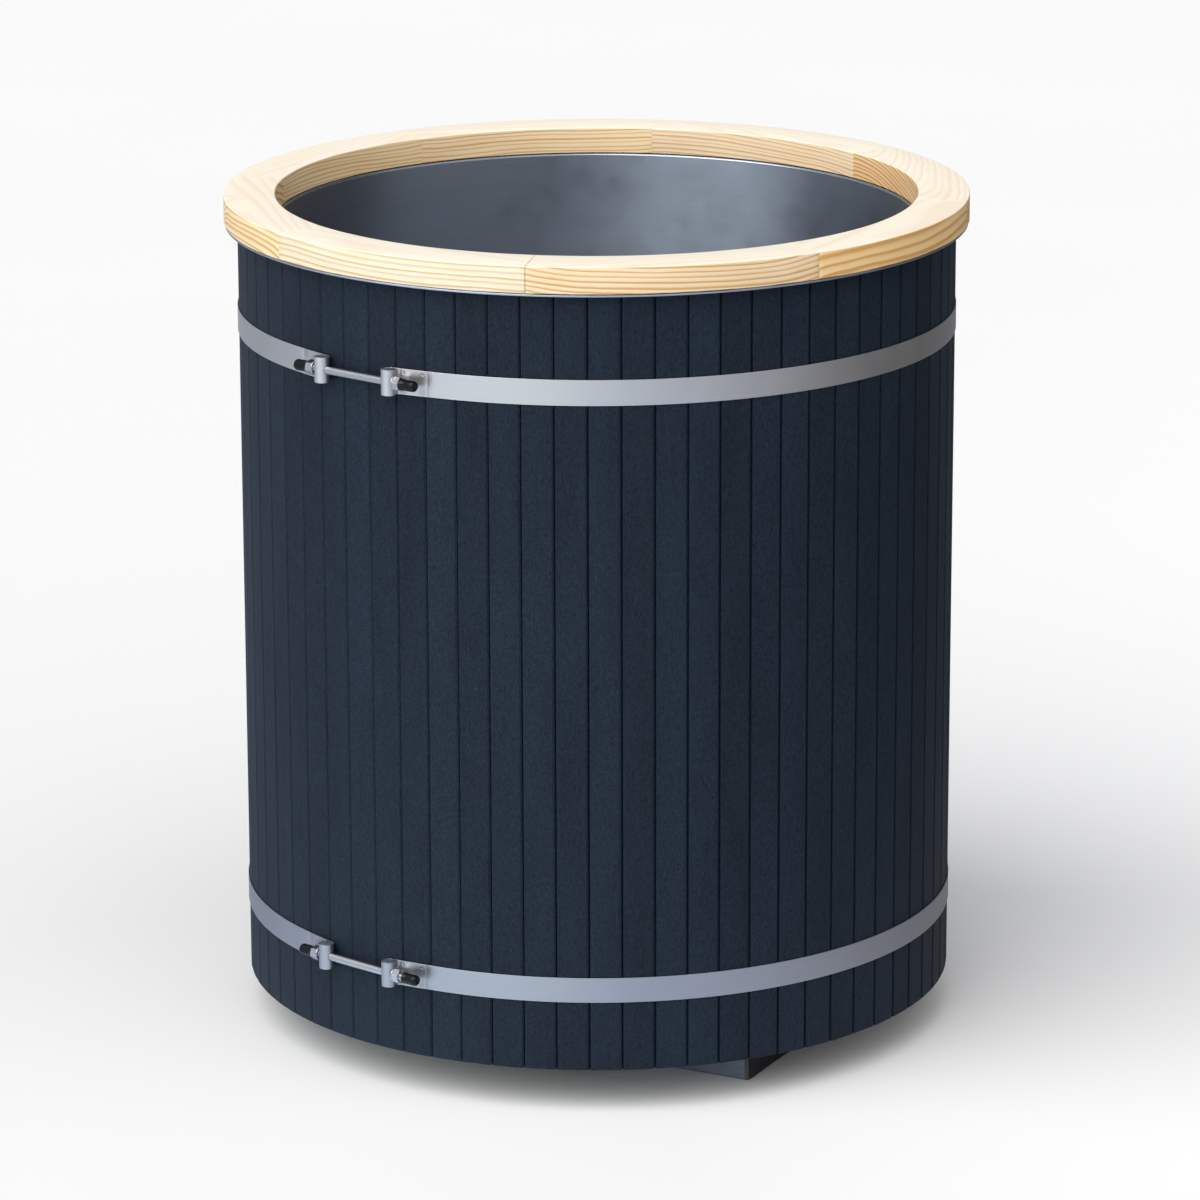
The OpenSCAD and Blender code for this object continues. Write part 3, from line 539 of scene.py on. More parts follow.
M_STRAP = steel("strap_satin", (0.630, 0.595, 0.580), 0.34, 0.44, "y", aniso=0.0, cloud=0.14, brush=0.22, attr="gc", tint=weld_tint)
# painted shade: the lower strap is the same steel as the upper one, given a darker, bluer copy for the darker lower
# part of the tub
M_STRAP_SHADED = steel("strap_satin_painted_shade", (0.425, 0.425, 0.465), 0.36, 0.46, "y", aniso=0.0, cloud=0.14, brush=0.22, attr="gc", tint=weld_tint)
M_TRUN = steel("trunnion_satin", (0.62, 0.68, 0.80), 0.34, 0.46, "n", cloud=0.2, brush=0.3)
M_ROD = steel("rod_polished", (0.50, 0.50, 0.52), 0.12, 0.20, "n", cloud=0.1, brush=0.15, dist=0.00001)
M_NUT = steel("nut_plated", (0.52, 0.52, 0.55), 0.15, 0.25, "n", cloud=0.15, brush=0.18)
M_WASHER = steel("washer_plated", (0.55, 0.55, 0.58), 0.15, 0.25, "n", cloud=0.15, brush=0.18)
M_FIX = steel("screw_plated", (0.70, 0.66, 0.55), 0.22, 0.34, "n", cloud=0.2, brush=0.2)
M_CAP = plastic("cap_vinyl", (0.0024, 0.0030, 0.0046), 0.13, speck=0.12, bump=0.00001, scratch=0.03, spec=0.25)
M_RUBBER = plastic("gasket_rubber", (0.018, 0.018, 0.019), 0.62, speck=0.25, bump=0.00005)
M_DARK = plastic("drain_black", (0.030, 0.031, 0.034), 0.48, speck=0.2, bump=0.00004)
M_GREY = plastic("drain_grey", (0.30, 0.31, 0.33), 0.42, speck=0.12, bump=0.00003)


def foam_mat():
    k = Mat("foam_cells")
    p = k.obj()
    cell = k.voro(p, 420.0)
    n = k.noise(p, 35.0, 3.0, 0.6)
    col = k.mix(k.range(cell, 0.0, 0.6, 0.0, 0.8), (0.80, 0.70, 0.42), (0.60, 0.48, 0.24))
    col = k.mix(k.range(n, 0.35, 0.7, 0.0, 0.3), col, (0.88, 0.80, 0.55))
    return k.set(Base_Color=col, Roughness=0.85, Normal=k.bump(cell, 0.0006, 0.8))


M_FOAM = foam_mat()


def worn_edge_and_shaded_end(k, p, col):
    e = k.attr("worn", "Fac")
    x, y, z = k.split(p)
    stripes = k.noise(k.xyz(k.math("MULTIPLY", x, 0.85), k.math("MULTIPLY", y, 0.85), k.math("MULTIPLY", z, 0.05)), 1.0, 3.0, 0.6)
    tan = k.mix(k.range(stripes, 0.38, 0.62, 0.0, 1.0), (0.155, 0.125, 0.095), (0.045, 0.035, 0.028))
    col = k.mix(k.math("MULTIPLY", k.ramp(e, [(0.25, 0.0), (0.55, 1.0)]), 0.9), col, tan)
    cut = k.mix(k.range(stripes, 0.35, 0.65, 0.0, 1.0), (0.020, 0.016, 0.013), (0.008, 0.007, 0.006))     # end grain painted near black: end grain is darker, and the rest is painted shade
    return k.mix(k.math("MULTIPLY", k.attr("endg", "Fac"), 0.95), col, cut)


M_RUNNER = timber("runner_weathered", (0.145, 0.165, 0.205), (0.065, 0.07, 0.082), (0.27, 0.295, 0.35), "gc", worn=worn_edge_and_shaded_end, spacing=5.5)
M_PANEL = timber("panel_plywood", (0.30, 0.27, 0.23), (0.19, 0.165, 0.14), (0.38, 0.35, 0.31), None, spacing=9.0, rough=0.6)
M_BEECH = timber("dowel_beech", (0.62, 0.42, 0.25), (0.46, 0.28, 0.14), (0.66, 0.47, 0.30), None, spacing=2.0, rough=0.55)


# ------------------------------------------------------------------ rim
def rim_section(inset, rt, rb):
    return fillet([
        (RIM_RI + inset, Z_RIM + inset, rb), (RIM_RO - inset, Z_RIM + inset, rb),
        (RIM_RO - inset, Z_TOP - inset, rt), (RIM_RI + inset, Z_TOP - inset, rt)], 6)


RIM_PHI = -10.45
JOINT_OPEN = (0.42, 0.16, 0.05, 0.05, 0.05, 0.05, 0.04, 0.05)


def rim_segment(i):
    a0 = RIM_PHI + 45.0 * i
    g, g1 = [math.degrees(w / RIM_RO) for w in (JOINT_OPEN[i], JOINT_OPEN[(i + 1) % 8])]     # half of the open joint at each end
    rt = 1.3 + 0.5 * hash01(i, 3)
    proud = 0.0 if i in (0, 4) else -0.25 * hash01(i, 5)         # boards differ a little in radius after sanding
    drop = -0.15 * hash01(i, 9)
    ease = 0.22
    full = rim_section(0.02, rt, 1.0)
    small = rim_section(0.02 + ease, rt - ease * 0.5, 0.7)
    step = math.degrees(ease / 483.0)
    stations = [(a0 + g, small), (a0 + g + step * 0.45, None), (a0 + g + step, full)]
    n = 56
    for q in range(1, n):
        stations.append((a0 + g + step + (45.0 - g - g1 - 2 * step) * q / n, full))
    stations += [(a0 + 45 - g1 - step, full), (a0 + 45 - g1 - step * 0.45, None), (a0 + 45 - g1, small)]
    mid = [(0.3 * a[0] + 0.7 * b[0], 0.3 * a[1] + 0.7 * b[1]) for a, b in zip(small, full)]
    rings, gc = [], []
    cm = rad(a0 + 22.5)
    for a, sec in stations:
        sec = sec or mid
        ring = []
        for r, z in sec:
            x, y, zz = on_ring(r + (proud if r > 480 else -proud * 0.6), a, z + (drop if z > 1160 else 0.0))
            ring.append((x, y, zz))
            along = x * math.cos(cm) + y * math.sin(cm)
            across = x * math.sin(cm) - y * math.cos(cm)
            gc.append((along, across - 0.4825, zz - 1.1608))
        rings.append(ring)
    v, f = sweep(rings)
    b = dict(BOARDS[i])
    mat = pine(f"pine_board_{i + 1}", **b)
    piece(f"rim_board_{i + 1}", v, f, mat, "tub", [f"rim_segment_{i + 1}"], sharp=28, vectors={"gc": gc})


for i in range(8):
    rim_segment(i)

# gasket with a soft outer edge
gv, gf = lathe(fillet([(452.05, 1141.52, 0.15), (512.9, 1141.52, 0.3), (512.9, 1142.28, 0.3), (452.05, 1142.28, 0.15)], 5), 256)
piece("rim_gasket_strip", gv, gf, M_RUBBER, "tub", ["rim_gasket"])

# ------------------------------------------------------------------ liner
prof = [(LINER_R, Z_FLOOR)]
prof += [(LINER_R, Z_FLOOR + (Z_FLANGE - BEND_R - Z_FLOOR) * q / 24) for q in range(1, 24)]
for q in range(13):
    a = rad(180 - 90 * q / 12)
    prof.append((LINER_R + BEND_R + BEND_R * math.cos(a), Z_FLANGE - BEND_R + BEND_R * math.sin(a)))
prof += [(LINER_R + 20 + 12 * q, Z_FLANGE) for q in range(4)]
for q in range(7):
    a = rad(90 - 90 * q / 6)
    prof.append((FLANGE_R - 1.3 + 1.3 * math.cos(a), Z_FLANGE - 1.3 + 1.3 * math.sin(a)))
prof += [(FLANGE_R, Z_FLANGE - LIP_H + 0.25), (FLANGE_R - 0.25, Z_FLANGE - LIP_H), (FLANGE_R - LINER_T + 0.25, Z_FLANGE - LIP_H),
         (FLANGE_R - LINER_T, Z_FLANGE - LIP_H + 0.25), (FLANGE_R - LINER_T, Z_FLANGE - LINER_T)]
for q in range(13):
    a = rad(90 + 90 * q / 12)
    prof.append((LINER_R + BEND_R + (BEND_R - LINER_T) * math.cos(a), Z_FLANGE - BEND_R + (BEND_R - LINER_T) * math.sin(a)))
prof += [(LINER_R + LINER_T, Z_FLOOR)]
lv, lf = lathe(prof, 288)


def shell_zone(face):
    r = max(math.hypot(lv[i][0], lv[i][1]) for i in face) / MM
    z = min(lv[i][2] for i in face) / MM
    return 0 if z < Z_FLANGE - BEND_R - 0.6 and r < LINER_R + 20 else (1 if r > LINER_R + 20 else 2)


piece("liner_shell", lv, lf, [M_LINER, M_FLANGE, M_BEND], "tub", ["liner_wall"], sharp=40, face_mats=[shell_zone(q) for q in lf])

# floor plate, welded to the wall with a small rippled bead
prof = [(LINER_R + LINER_T, Z_FOAM), (LINER_R + LINER_T, Z_FLOOR - 0.02), (LINER_R - 0.02, Z_FLOOR - 0.02), (LINER_R - 0.05, Z_FLOOR + 3.2)]
for q in range(1, 7):
    a = rad(90.0 * q / 7)
    prof.append((LINER_R - 0.05 - 4.0 * math.sin(a) ** 1.2, Z_FLOOR + 3.2 * (1 - math.sin(a) ** 0.8)))
prof += [(LINER_R - 4.6, Z_FLOOR), (LINER_R - 40, Z_FLOOR), (300, Z_FLOOR), (160, Z_FLOOR), (60, Z_FLOOR), (21.0, Z_FLOOR), (21.0, Z_FOAM)]
fv, ff = lathe(prof, 288)
fv = [(x, y, z + (0.35 * MM * math.sin(math.atan2(y, x) * 360) if Z_FLOOR * MM + 0.0004 < z and math.hypot(x, y) < 0.4435 else 0.0))
      for x, y, z in fv]
piece("liner_floor_plate", fv, ff, M_FLOORPLATE, "tub", ["liner_floor"], sharp=40)

# ------------------------------------------------------------------ cladding
half = rad(180.0 / STAVE_N)
face_hw = TUB_R * math.tan(half) - STAVE_GAP / 2
face_d = math.sqrt(TUB_R ** 2 - face_hw ** 2)
shoulder_d, tongue_d = TUB_R - STAVE_T * 0.28, TUB_R - STAVE_T * 0.72


def side_pt(d, out, s=1):
    return (s * (d * math.sin(half) + out * math.cos(half)), d * math.cos(half) - out * math.sin(half))


def groove_pt(d, into):
    return (-(d * math.sin(half) - into * math.cos(half)), d * math.cos(half) + into * math.sin(half))


def stave_section(k, edge):
    hw = face_hw - 0.02
    pts = [
        (-hw, face_d, 0.5), (0.0, face_d, 0), (hw - edge, face_d, 3.0), (hw, face_d - STAVE_DROP, 0.5), (hw, shoulder_d, 0.35),
        (*side_pt(shoulder_d, -0.1), 0), (*side_pt(tongue_d + 1.8, -0.1), 0), (*side_pt(tongue_d + 1.8, 4.2), 0.4),
        (*side_pt(tongue_d - 1.8, 4.2), 0.4), (*side_pt(tongue_d - 1.8, -0.1), 0),
        ((TUB_R - STAVE_T) * math.tan(half) - 0.1, TUB_R - STAVE_T, 0.5), (-(TUB_R - STAVE_T) * math.tan(half) + 0.1, TUB_R - STAVE_T, 0.5),
        (*groove_pt(tongue_d - 2, 0.1), 0), (*groove_pt(tongue_d - 2, 4.7), 0.4), (*groove_pt(tongue_d + 2, 4.7), 0.4),
        (*groove_pt(tongue_d + 2, 0.1), 0), (*groove_pt(shoulder_d, 0.1), 0), (-hw, shoulder_d, 0.35)]
    return fillet(pts, 7)


stave_parts, tc, sid = [], [], []
levels = [(Z_BASE, 0.5), (Z_BASE + 0.5, 0.0)] + [(Z_BASE + 1080.0 * q / 12, 0.0) for q in range(1, 12)] + [(Z_STAVE - 0.5, 0.0), (Z_STAVE, 0.5)]
for i in range(STAVE_N):
    sec = stave_section(i, STAVE_EDGE - 0.1 + 0.2 * hash01(i, 2))
    ph = rad(GROOVE_PHI + (i + 0.5) * 360.0 / STAVE_N)
    rings = []
    for z, ins in levels:
        ring = []
        for u, d in sec:
            uu = u - math.copysign(min(ins, abs(u)), u) if abs(u) > 1 else u
            dd = d - ins if d > 495 else (d + ins if d < 482 else d)
            x, y = uu * MM, -dd * MM
            ring.append((x * math.cos(ph) - y * math.sin(ph), x * math.sin(ph) + y * math.cos(ph), z * MM))
            tc.append((u + 100.0 * i, z + 1700.0 * hash01(i, 7), d * 1.0))
            sid.append(float(i))
        rings.append(ring)
    stave_parts.append(sweep(rings))
sv, sf = join(stave_parts)
piece("cladding_boards", sv, sf, M_CLAD, "tub", ["cladding_staves"], sharp=30, vectors={"tc": tc}, floats={"sid": sid})


# ------------------------------------------------------------------ straps
def arc(cx, cy, r, a0, a1, n):
    return [(cx + r * math.cos(rad(a0 + (a1 - a0) * q / n)), cy + r * math.sin(rad(a0 + (a1 - a0) * q / n))) for q in range(n + 1)]


def strap_end(o):
    """Tail to eye, in plan: x back along the strap, v outwards."""
    x0 = BEND_X
    n = 74
    tail = [(TAIL_L + (x0 - TAIL_L) * q / n, TAIL_V - o) for q in range(n)]
    bend = arc(BEND_X, TAIL_V + BACK_R, BACK_R + o, 270, 180 + BACK_A, 12)
    eye = arc(0, EYE_RM, EYE_RM - o, BACK_A, 270, 56)[1:]
    run = [(4.0 * q, -o) for q in range(1, 13)]
    return tail + bend + eye + run


def place(p, phi, s):
    a = rad(phi + s * EYE_A)
    x, y = s * (p[0] - EYE_RUN), -(STRAP_RM + p[1])
    return (x * math.cos(a) - y * math.sin(a), x * math.sin(a) + y * math.cos(a))


def strap_path(l, r, o):
    e = strap_end(o)
    ring = []
    a0, a1 = r + EYE_A, 360 + l - EYE_A
    for q in range(241):
        a = rad(a0 + (a1 - a0) * q / 240)
        ring.append(((STRAP_RM + o) * math.sin(a), -(STRAP_RM + o) * math.cos(a)))
    return [place(p, r, 1) for p in e] + ring + [place(p, l, -1) for p in reversed(e)]


WELDS = [(x, z) for x in (18.0, 47.0) for z in (-12.0, 12.0)]


def tube_cutter(p0, d, r, length, n=64):
    d = Vector(d).normalized()
    u = Vector((0, 0, 1))
    v = d.cross(u)
    rings = []
    for t in (-length / 2, length / 2):
        rings.append([tuple(Vector(p0) + d * t * MM + (u * math.cos(2 * PI * q / n) + v * math.sin(2 * PI * q / n)) * r * MM) for q in range(n)])
    return sweep(rings)


def clamp_axes(c):
    m = rad((c["l"] + c["r"]) / 2)
    h = rad((c["r"] - c["l"]) / 2)
    ax = Vector((math.cos(m), math.sin(m), 0))
    inn = Vector((-math.sin(m), math.cos(m), 0))
    mid = inn * (-EYE_C * math.cos(h) * MM) + Vector((0, 0, c["z"] * MM))
    return ax, inn, mid, EYE_C * math.sin(h)


def end_matrix(c, s):
    ax, inn, mid, hc = clamp_axes(c)
    o = mid + ax * (s * hc * MM)
    x, y, z = Vector((0, 0, -s)), inn, ax * s
    return Matrix(((x.x, y.x, z.x, o.x), (x.y, y.y, z.y, o.y), (x.z, y.z, z.z, o.z), (0, 0, 0, 1)))


def build_strap(which):
    c = CLAMPS[which]
    lo, hi = strap_path(c["l"], c["r"], -STRAP_T / 2), strap_path(c["l"], c["r"], STRAP_T / 2)
    n = len(lo)
    ne = 74 + 13 + 56 + 12
    zs = [-17.5, -16.2, -15, -14.3, -13.7, -13.15, -12.6, -12.0, -11.4, -10.85, -10.3, -9.7, -9, -7, -4.5, -2, 0]
    zs = zs + [-q for q in reversed(zs[:-1])]
    co = 0.32
    top = [(-0.5, z) for z in zs[1:-1]]
    loop = [(-0.5 + co, -17.5), (-0.5 + co * 0.3, -17.5 + co * 0.3), (-0.5, -17.5 + co)] + top + \
           [(-0.5, 17.5 - co), (-0.5 + co * 0.3, 17.5 - co * 0.3), (-0.5 + co, 17.5),
            (0.5 - co, 17.5), (0.5 - co * 0.3, 17.5 - co * 0.3), (0.5, 17.5 - co)] + [(0.5, z) for z in reversed(zs[1:-1])] + \
           [(0.5, -17.5 + co), (0.5 - co * 0.3, -17.5 + co * 0.3), (0.5 - co, -17.5)]
    pts = np.array([[(a[0] + b[0]) / 2, (a[1] + b[1]) / 2] for a, b in zip(lo, hi)])
    nor = np.array([[b[0] - a[0], b[1] - a[1]] for a, b in zip(lo, hi)])
    run = np.concatenate([[0], np.cumsum(np.linalg.norm(np.diff(pts, axis=0), axis=1))])
    end_x = [p[0] for p in strap_end(0.0)]
    rings, gc, weld = [], [], []
    for q in range(n):
        ring = []
        near = q if q < 74 else (n - 1 - q if n - 1 - q < 74 else None)
        shrink = 0.0
        if q == 0 or q == n - 1:
            shrink = 0.3
        for o, z in loop:
            oo, zz, w = o * (1 - 0.45 * (shrink > 0)), z - math.copysign(shrink, z) if abs(z) > 16 else z, 0.0
            if near is not None:
                x = end_x[near]
                for wx, wz in WELDS:
                    d = math.hypot(x - wx, z - wz)
                    w = max(w, math.exp(-(d / 4.2) ** 2))
                    if o < 0:
                        if d < 3.2:
                            oo += 0.26 * (1 - (d / 2.2) ** 2) if d < 2.2 else -0.09 * math.sin((d - 2.2) * PI)
            if near is not None and end_x[near] > TAIL_L - 12.0 and o < 0:        # the tail's end is ground to a thin edge
                oo += 0.80 * (1.0 - (TAIL_L - end_x[near]) / 12.0) ** 1.3
            px, py = pts[q] + nor[q] * oo
            ring.append((px * MM, py * MM, (c["z"] + zz) * MM))
            gc.append((run[q] * MM, zz * MM, oo * MM))
            weld.append(w)
        rings.append(ring)
    v, f = sweep(rings)
    cuts = []
    ax, inn, mid, hc = clamp_axes(c)
    for s in (-1, 1):
        cuts.append(tube_cutter(mid + ax * (s * hc * MM), ax, 6.3, 28.0))
    piece(which + "_strap_band", v, f, M_STRAP if which == "upper" else M_STRAP_SHADED, "tub", [which + "_strap"], sharp=30, vectors={"gc": gc},
          floats={"weld": weld}, cut=cuts)


def build_trunnions(which):
    c = CLAMPS[which]
    ax, inn, mid, hc = clamp_axes(c)
    parts = []
    for s in (-1, 1):
        o = mid + ax * (s * hc * MM)
        prof = [(0, -17.45), (4.0, -17.45), (8.3, -17.45), (8.9, -17.2), (9.15, -16.6), (9.15, -8), (9.15, 0), (9.15, 8), (9.15, 16.6),
                (8.9, 17.2), (8.3, 17.45), (4.0, 17.45), (0, 17.45)]
        v, f = lathe(prof, 72, closed=False)
        parts.append(([(x + o.x, y + o.y, z + o.z) for x, y, z in v], f))
    v, f = join(parts)
    piece(which + "_trunnion_pins", v, f, M_TRUN, "tub", [which + "_trunnions"], sharp=34,
          cut=[tube_cutter(mid, ax, 6.2, 2 * hc + 60)])


def thread_r(theta, x, crest, depth=0.95, pitch=1.75):
    """Radius of an ISO-like thread at an angle and a place along the rod."""
    t = (x / pitch - theta / (2 * PI)) % 1.0
    t = abs(2 * t - 1.0)                      # 0 at the crest's middle, 1 at the root
    t = min(1.0, max(0.0, (t - 0.13) / 0.62))
    return crest - depth * t


def build_rod(which):
    c = CLAMPS[which]
    ax, inn, mid, hc = clamp_axes(c)
    xa, xb = -(hc + c["caps"][0] + CAP_BORE - 0.5), hc + c["caps"][1] + CAP_BORE - 0.5
    n = 40
    xs = []
    x = xa
    ta, tb = -hc + 6, hc - 6
    while x < ta - 1e-6:
        xs.append(x)
        x += 0.19
    xs.append(ta)
    xs += [ta + 0.4, ta + 1.2] + [ta + 1.2 + (tb - ta - 2.4) * q / 24 for q in range(1, 24)] + [tb - 1.2, tb - 0.4, tb]
    x = tb + 0.19
    while x < xb - 1e-6:
        xs.append(x)
        x += 0.19
    xs.append(xb)
    rings = []
    for x in xs:
        ring = []
        for q in range(n):
            th = 2 * PI * q / n
            if x <= ta or x >= tb:
                e = min(x - xa, xb - x)
                r = thread_r(th, x, 5.94)
                r = min(r, 5.0 + 1.0 * max(0.0, e))
                inner = min(abs(x - ta), abs(x - tb))
                if inner < 1.5:
                    r = max(r, 5.98 - 0.9 * inner / 1.5)
            else:
                r = 5.98
            ring.append((r * MM * math.cos(th), r * MM * math.sin(th), x * MM))
        rings.append(ring)
    v, f = sweep(rings)
    z = ax
    m = Matrix(((0, inn.x, z.x, mid.x), (0, inn.y, z.y, mid.y), (-1, inn.z, z.z, mid.z), (0, 0, 0, 1)))
    piece(which + "_tension_rod", v, f, M_ROD, "tub", [which + "_rod"], sharp=50, matrix=m)


def build_nut(which, side, s):
    c = CLAMPS[which]
    n = 96
    rc = NUT_AF / 2 * 0.965
    tan30 = math.tan(rad(28))
    rings = []
    turn = rad(15)
    cols = []
    for q in range(n):
        th = 2 * PI * q / n
        w = ((th - turn) + rad(30)) % rad(60) - rad(30)          # 0 at a corner
        w = abs(w)
        rh = (NUT_AF / 2) / math.cos(rad(30) - w)
        rh = min(rh, NUT_AF / 2 / math.cos(rad(30)) - 0.14 + 0.0) - 0.01
        zc = max(0.0, (rh - rc)) * tan30
        col = [(6.0, 0.7), (6.65, 0.0), (rc, 0.0), (rh, zc), (rh, zc + 0.12), (rh, NUT_H / 2), (rh, NUT_H - zc - 0.12), (rh, NUT_H - zc), (rc, NUT_H),
               (6.65, NUT_H), (6.0, NUT_H - 0.7), (6.0, NUT_H / 2)]
        cols.append([(r * MM * math.cos(th), r * MM * math.sin(th), (NUT_X + z) * MM) for r, z in col])
    v, f = sweep(cols, closed=True)
    piece(f"{which}_{side}_hex_nut", v, f, M_NUT, f"{which}_{side}_nut", [f"nut_{which}_{side}"], sharp=24, matrix=end_matrix(c, s))


def build_washer(which, side, s):
    c = CLAMPS[which]
    v, f = lathe(fillet([(6.26, WASHER_X + 0.01, 0.15), (9.98, WASHER_X + 0.01, 0.3), (9.98, WASHER_X + 1.99, 0.45), (6.26, WASHER_X + 1.99, 0.3)], 4), 80)
    piece(f"{which}_{side}_flat_washer", v, f, M_WASHER, f"{which}_{side}_washer", [f"washer_{which}_{side}"], matrix=end_matrix(c, s))


def build_cap(which, side, s):
    c = CLAMPS[which]
    x0 = c["caps"][0 if s < 0 else 1]
    prof = [(6.02, 0.5), (6.5, 0.02), (7.5, 0.02), (7.9, 0.25), (7.98, 0.7), (7.98, 1.9), (7.82, 2.3), (7.8, 8), (7.77, 13), (7.74, 18.6)]
    for q in range(1, 12):
        a = rad(90.0 * q / 12)
        prof.append((3.6 + 4.14 * math.cos(a), 18.6 + 5.3 * math.sin(a)))
    prof += [(3.6, CAP_L - 0.06), (1.8, CAP_L - 0.03), (0, CAP_L - 0.02)]
    outer = [(r, z + x0) for r, z in prof]
    inner = [(6.02, 0.5 + x0), (6.02, 8 + x0), (6.02, CAP_BORE - 1.4 + x0), (5.2, CAP_BORE - 0.1 + x0), (0, CAP_BORE - 0.02 + x0)]
    v, f = lathe(list(reversed(inner[1:])) + outer, 64, closed=False)
    piece(f"{which}_{side}_end_cap", v, f, M_CAP, f"{which}_{side}_cap", [f"cap_{which}_{side}"], matrix=end_matrix(c, s))


for which in CLAMPS:
    build_strap(which)
    build_trunnions(which)
    build_rod(which)
    for side, s in (("left", -1), ("right", 1)):
        build_washer(which, side, s)
        build_nut(which, side, s)
        build_cap(which, side, s)


# ------------------------------------------------------------------ runners
def build_runner(name, node, s):
    """A sawn beam with worn, slightly uneven arrises; gc runs along, across and up the beam."""
    nx, ny, nz = 150, 30, 14
    hx, hy, hz = RUNNER_L / 2, RUNNER_W / 2, Z_BASE / 2
    turn = rad(-BASE_TURN)

    def axis(h, n):
        e = [0.0, 0.7, 1.6, 3.0, 5.0, 8.0]
        mid_pts = [-h + 8.0 + (2 * h - 16.0) * q / (n - 10) for q in range(1, n - 10)]
        return [-h + q for q in e] + mid_pts + [h - q for q in reversed(e)]

    gx, gy, gz = axis(hx, nx), axis(hy, ny), axis(hz, nz)
    index, verts = {}, []

    def vert(a, b, c):
        key = (round(a, 4), round(b, 4), round(c, 4))
        if key not in index:
            index[key] = len(verts)
            verts.append((a, b, c))
        return index[key]

    faces = []
    for g1, g2, fixed, order in (
            (gx, gy, hz, 0), (gx, gz, hy, 1), (gy, gz, hx, 2)):
        for sg in (-1, 1):
            for p in range(len(g1) - 1):
                for q in range(len(g2) - 1):
                    cs = [(g1[p], g2[q]), (g1[p + 1], g2[q]), (g1[p + 1], g2[q + 1]), (g1[p], g2[q + 1])]
                    if order == 0:
                        vs = [vert(a, b, sg * fixed) for a, b in cs]
                    elif order == 1:
                        vs = [vert(a, sg * fixed, b) for a, b in cs]
                    else:
                        vs = [vert(sg * fixed, a, b) for a, b in cs]
                    faces.append(tuple(vs))
    out, gc, worn, endg = [], [], [], []
    rr = 3.2
    for a, b, c in verts:
        rad_here = rr * (0.75 + 0.5 * hash01(round(a / 23), round(b / 23), round(c / 40)))
        rad_here = rr
        q = [max(-h + rad_here, min(h - rad_here, t)) for t, h in ((a, hx), (b, hy), (c, hz))]
        d = [a - q[0], b - q[1], c - q[2]]
        ln = math.sqrt(sum(t * t for t in d))
        if ln > 1e-9:
            m = max(abs(t) for t in d)
            k2 = rad_here / ln * (m / rad_here)
            p = [q[0] + d[0] * k2, q[1] + d[1] * k2, q[2] + d[2] * k2]
        else:
            p = [a, b, c]
        wob = 0.35 * (math.sin(a * 0.11 + s) * math.sin(b * 0.23 + 1.7) + math.sin(a * 0.037 + b * 0.05 + c * 0.09)) - 0.45
        sc = [1 + wob / h if abs(t) > h - 12 and hz != h else 1.0 for t, h in ((p[0], hx), (p[1], hy), (p[2], hz))]
        p = [p[0] * sc[0], p[1] * sc[1], p[2]]
        near = sorted([hx - abs(a), hy - abs(b)])
        edge = math.exp(-((near[0] + near[1]) / 7.0) ** 2)
        worn.append(edge * (1.0 if near[0] < 0.01 and hx - abs(a) > hy - abs(b) - 1e-6 else 0.0))
        endg.append(1.0 if hx - abs(a) < 0.01 else 0.0)
        gc.append((p[0] * MM, p[1] * MM + 0.4 * s, p[2] * MM))
        px, py = p[0], p[1] + s * (RUNNER_SPAN - RUNNER_W) / 2
        out.append(((px * math.cos(turn) - py * math.sin(turn)) * MM, (px * math.sin(turn) + py * math.cos(turn)) * MM, (p[2] + hz) * MM))
    cuts = []
    for x in (-0.42, -0.15, 0.15, 0.42):
        lx, ly = x * RUNNER_L, s * (RUNNER_SPAN - RUNNER_W) / 2
        wx, wy = (lx * math.cos(turn) - ly * math.sin(turn)) * MM, (lx * math.sin(turn) + ly * math.cos(turn)) * MM
        rings = [[(wx + 0.00255 * math.cos(2 * PI * q / 32), wy + 0.00255 * math.sin(2 * PI * q / 32), zz) for q in range(32)] for zz in (0.015, 0.0621)]
        cuts.append(sweep(rings))
    piece(name, out, faces, M_RUNNER, "tub", [node], sharp=40, vectors={"gc": gc}, floats={"worn": worn, "endg": endg}, cut=cuts)


build_runner("runner_beam_front", "base_runner_front", -1)
build_runner("runner_beam_back", "base_runner_back", 1)

# ------------------------------------------------------------------ drain
u_ang = rad(180 - BASE_TURN)
u_dir, v_dir = Vector((math.cos(u_ang), math.sin(u_ang), 0)), Vector((-math.sin(u_ang), math.cos(u_ang), 0))


def drain_matrix(x):
    o = u_dir * (x * MM) + Vector((0, 0, PIPE_Z * MM))
    xx, yy, zz = Vector((0, 0, -1)), v_dir, u_dir
    return Matrix(((xx.x, yy.x, zz.x, o.x), (xx.y, yy.y, zz.y, o.y), (xx.z, yy.z, zz.z, o.z), (0, 0, 0, 1)))


v, f = lathe(fillet([(18.02, 0.02, 0.6), (19.98, 0.02, 0.5), (19.98, 424.98, 0.5), (18.02, 424.98, 0.6)], 3), 96)
piece("waste_pipe", v, f, M_GREY, "tub", ["drain_pipe"], matrix=drain_matrix(30))
v, f = lathe(fillet([(20.12, 0.02, 0.5), (21.6, 0.02, 0.7), (22.95, 2.6, 0.8), (22.95, 27.4, 0.8), (21.2, 29.9, 0.4), (19.98, 30.4, 0.2),
                     (19.98, 78.4, 0.6), (18.9, 79.95, 0.5), (17.02, 79.95, 0.5), (17.02, 25.6, 0.2), (20.12, 25.6, 0.2)], 4), 96)
piece("outlet_spigot", v, f, M_GREY, "tub", ["drain_spigot"], matrix=drain_matrix(430), sharp=34)

v, f = lathe(fillet([(20.0, 44.1, 0.3), (19.98, 124.52, 0.3), (34.45, 124.52, 0.4), (34.2, 125.6, 0.5), (32.2, 127.45, 0.9), (20.6, 127.45, 0.6),
                     (17.05, 124.2, 0.6), (17.05, 44.1, 0.3)], 4), 120)
piece("floor_waste", v, f, M_ROD, "tub", ["drain_waste"], sharp=30)

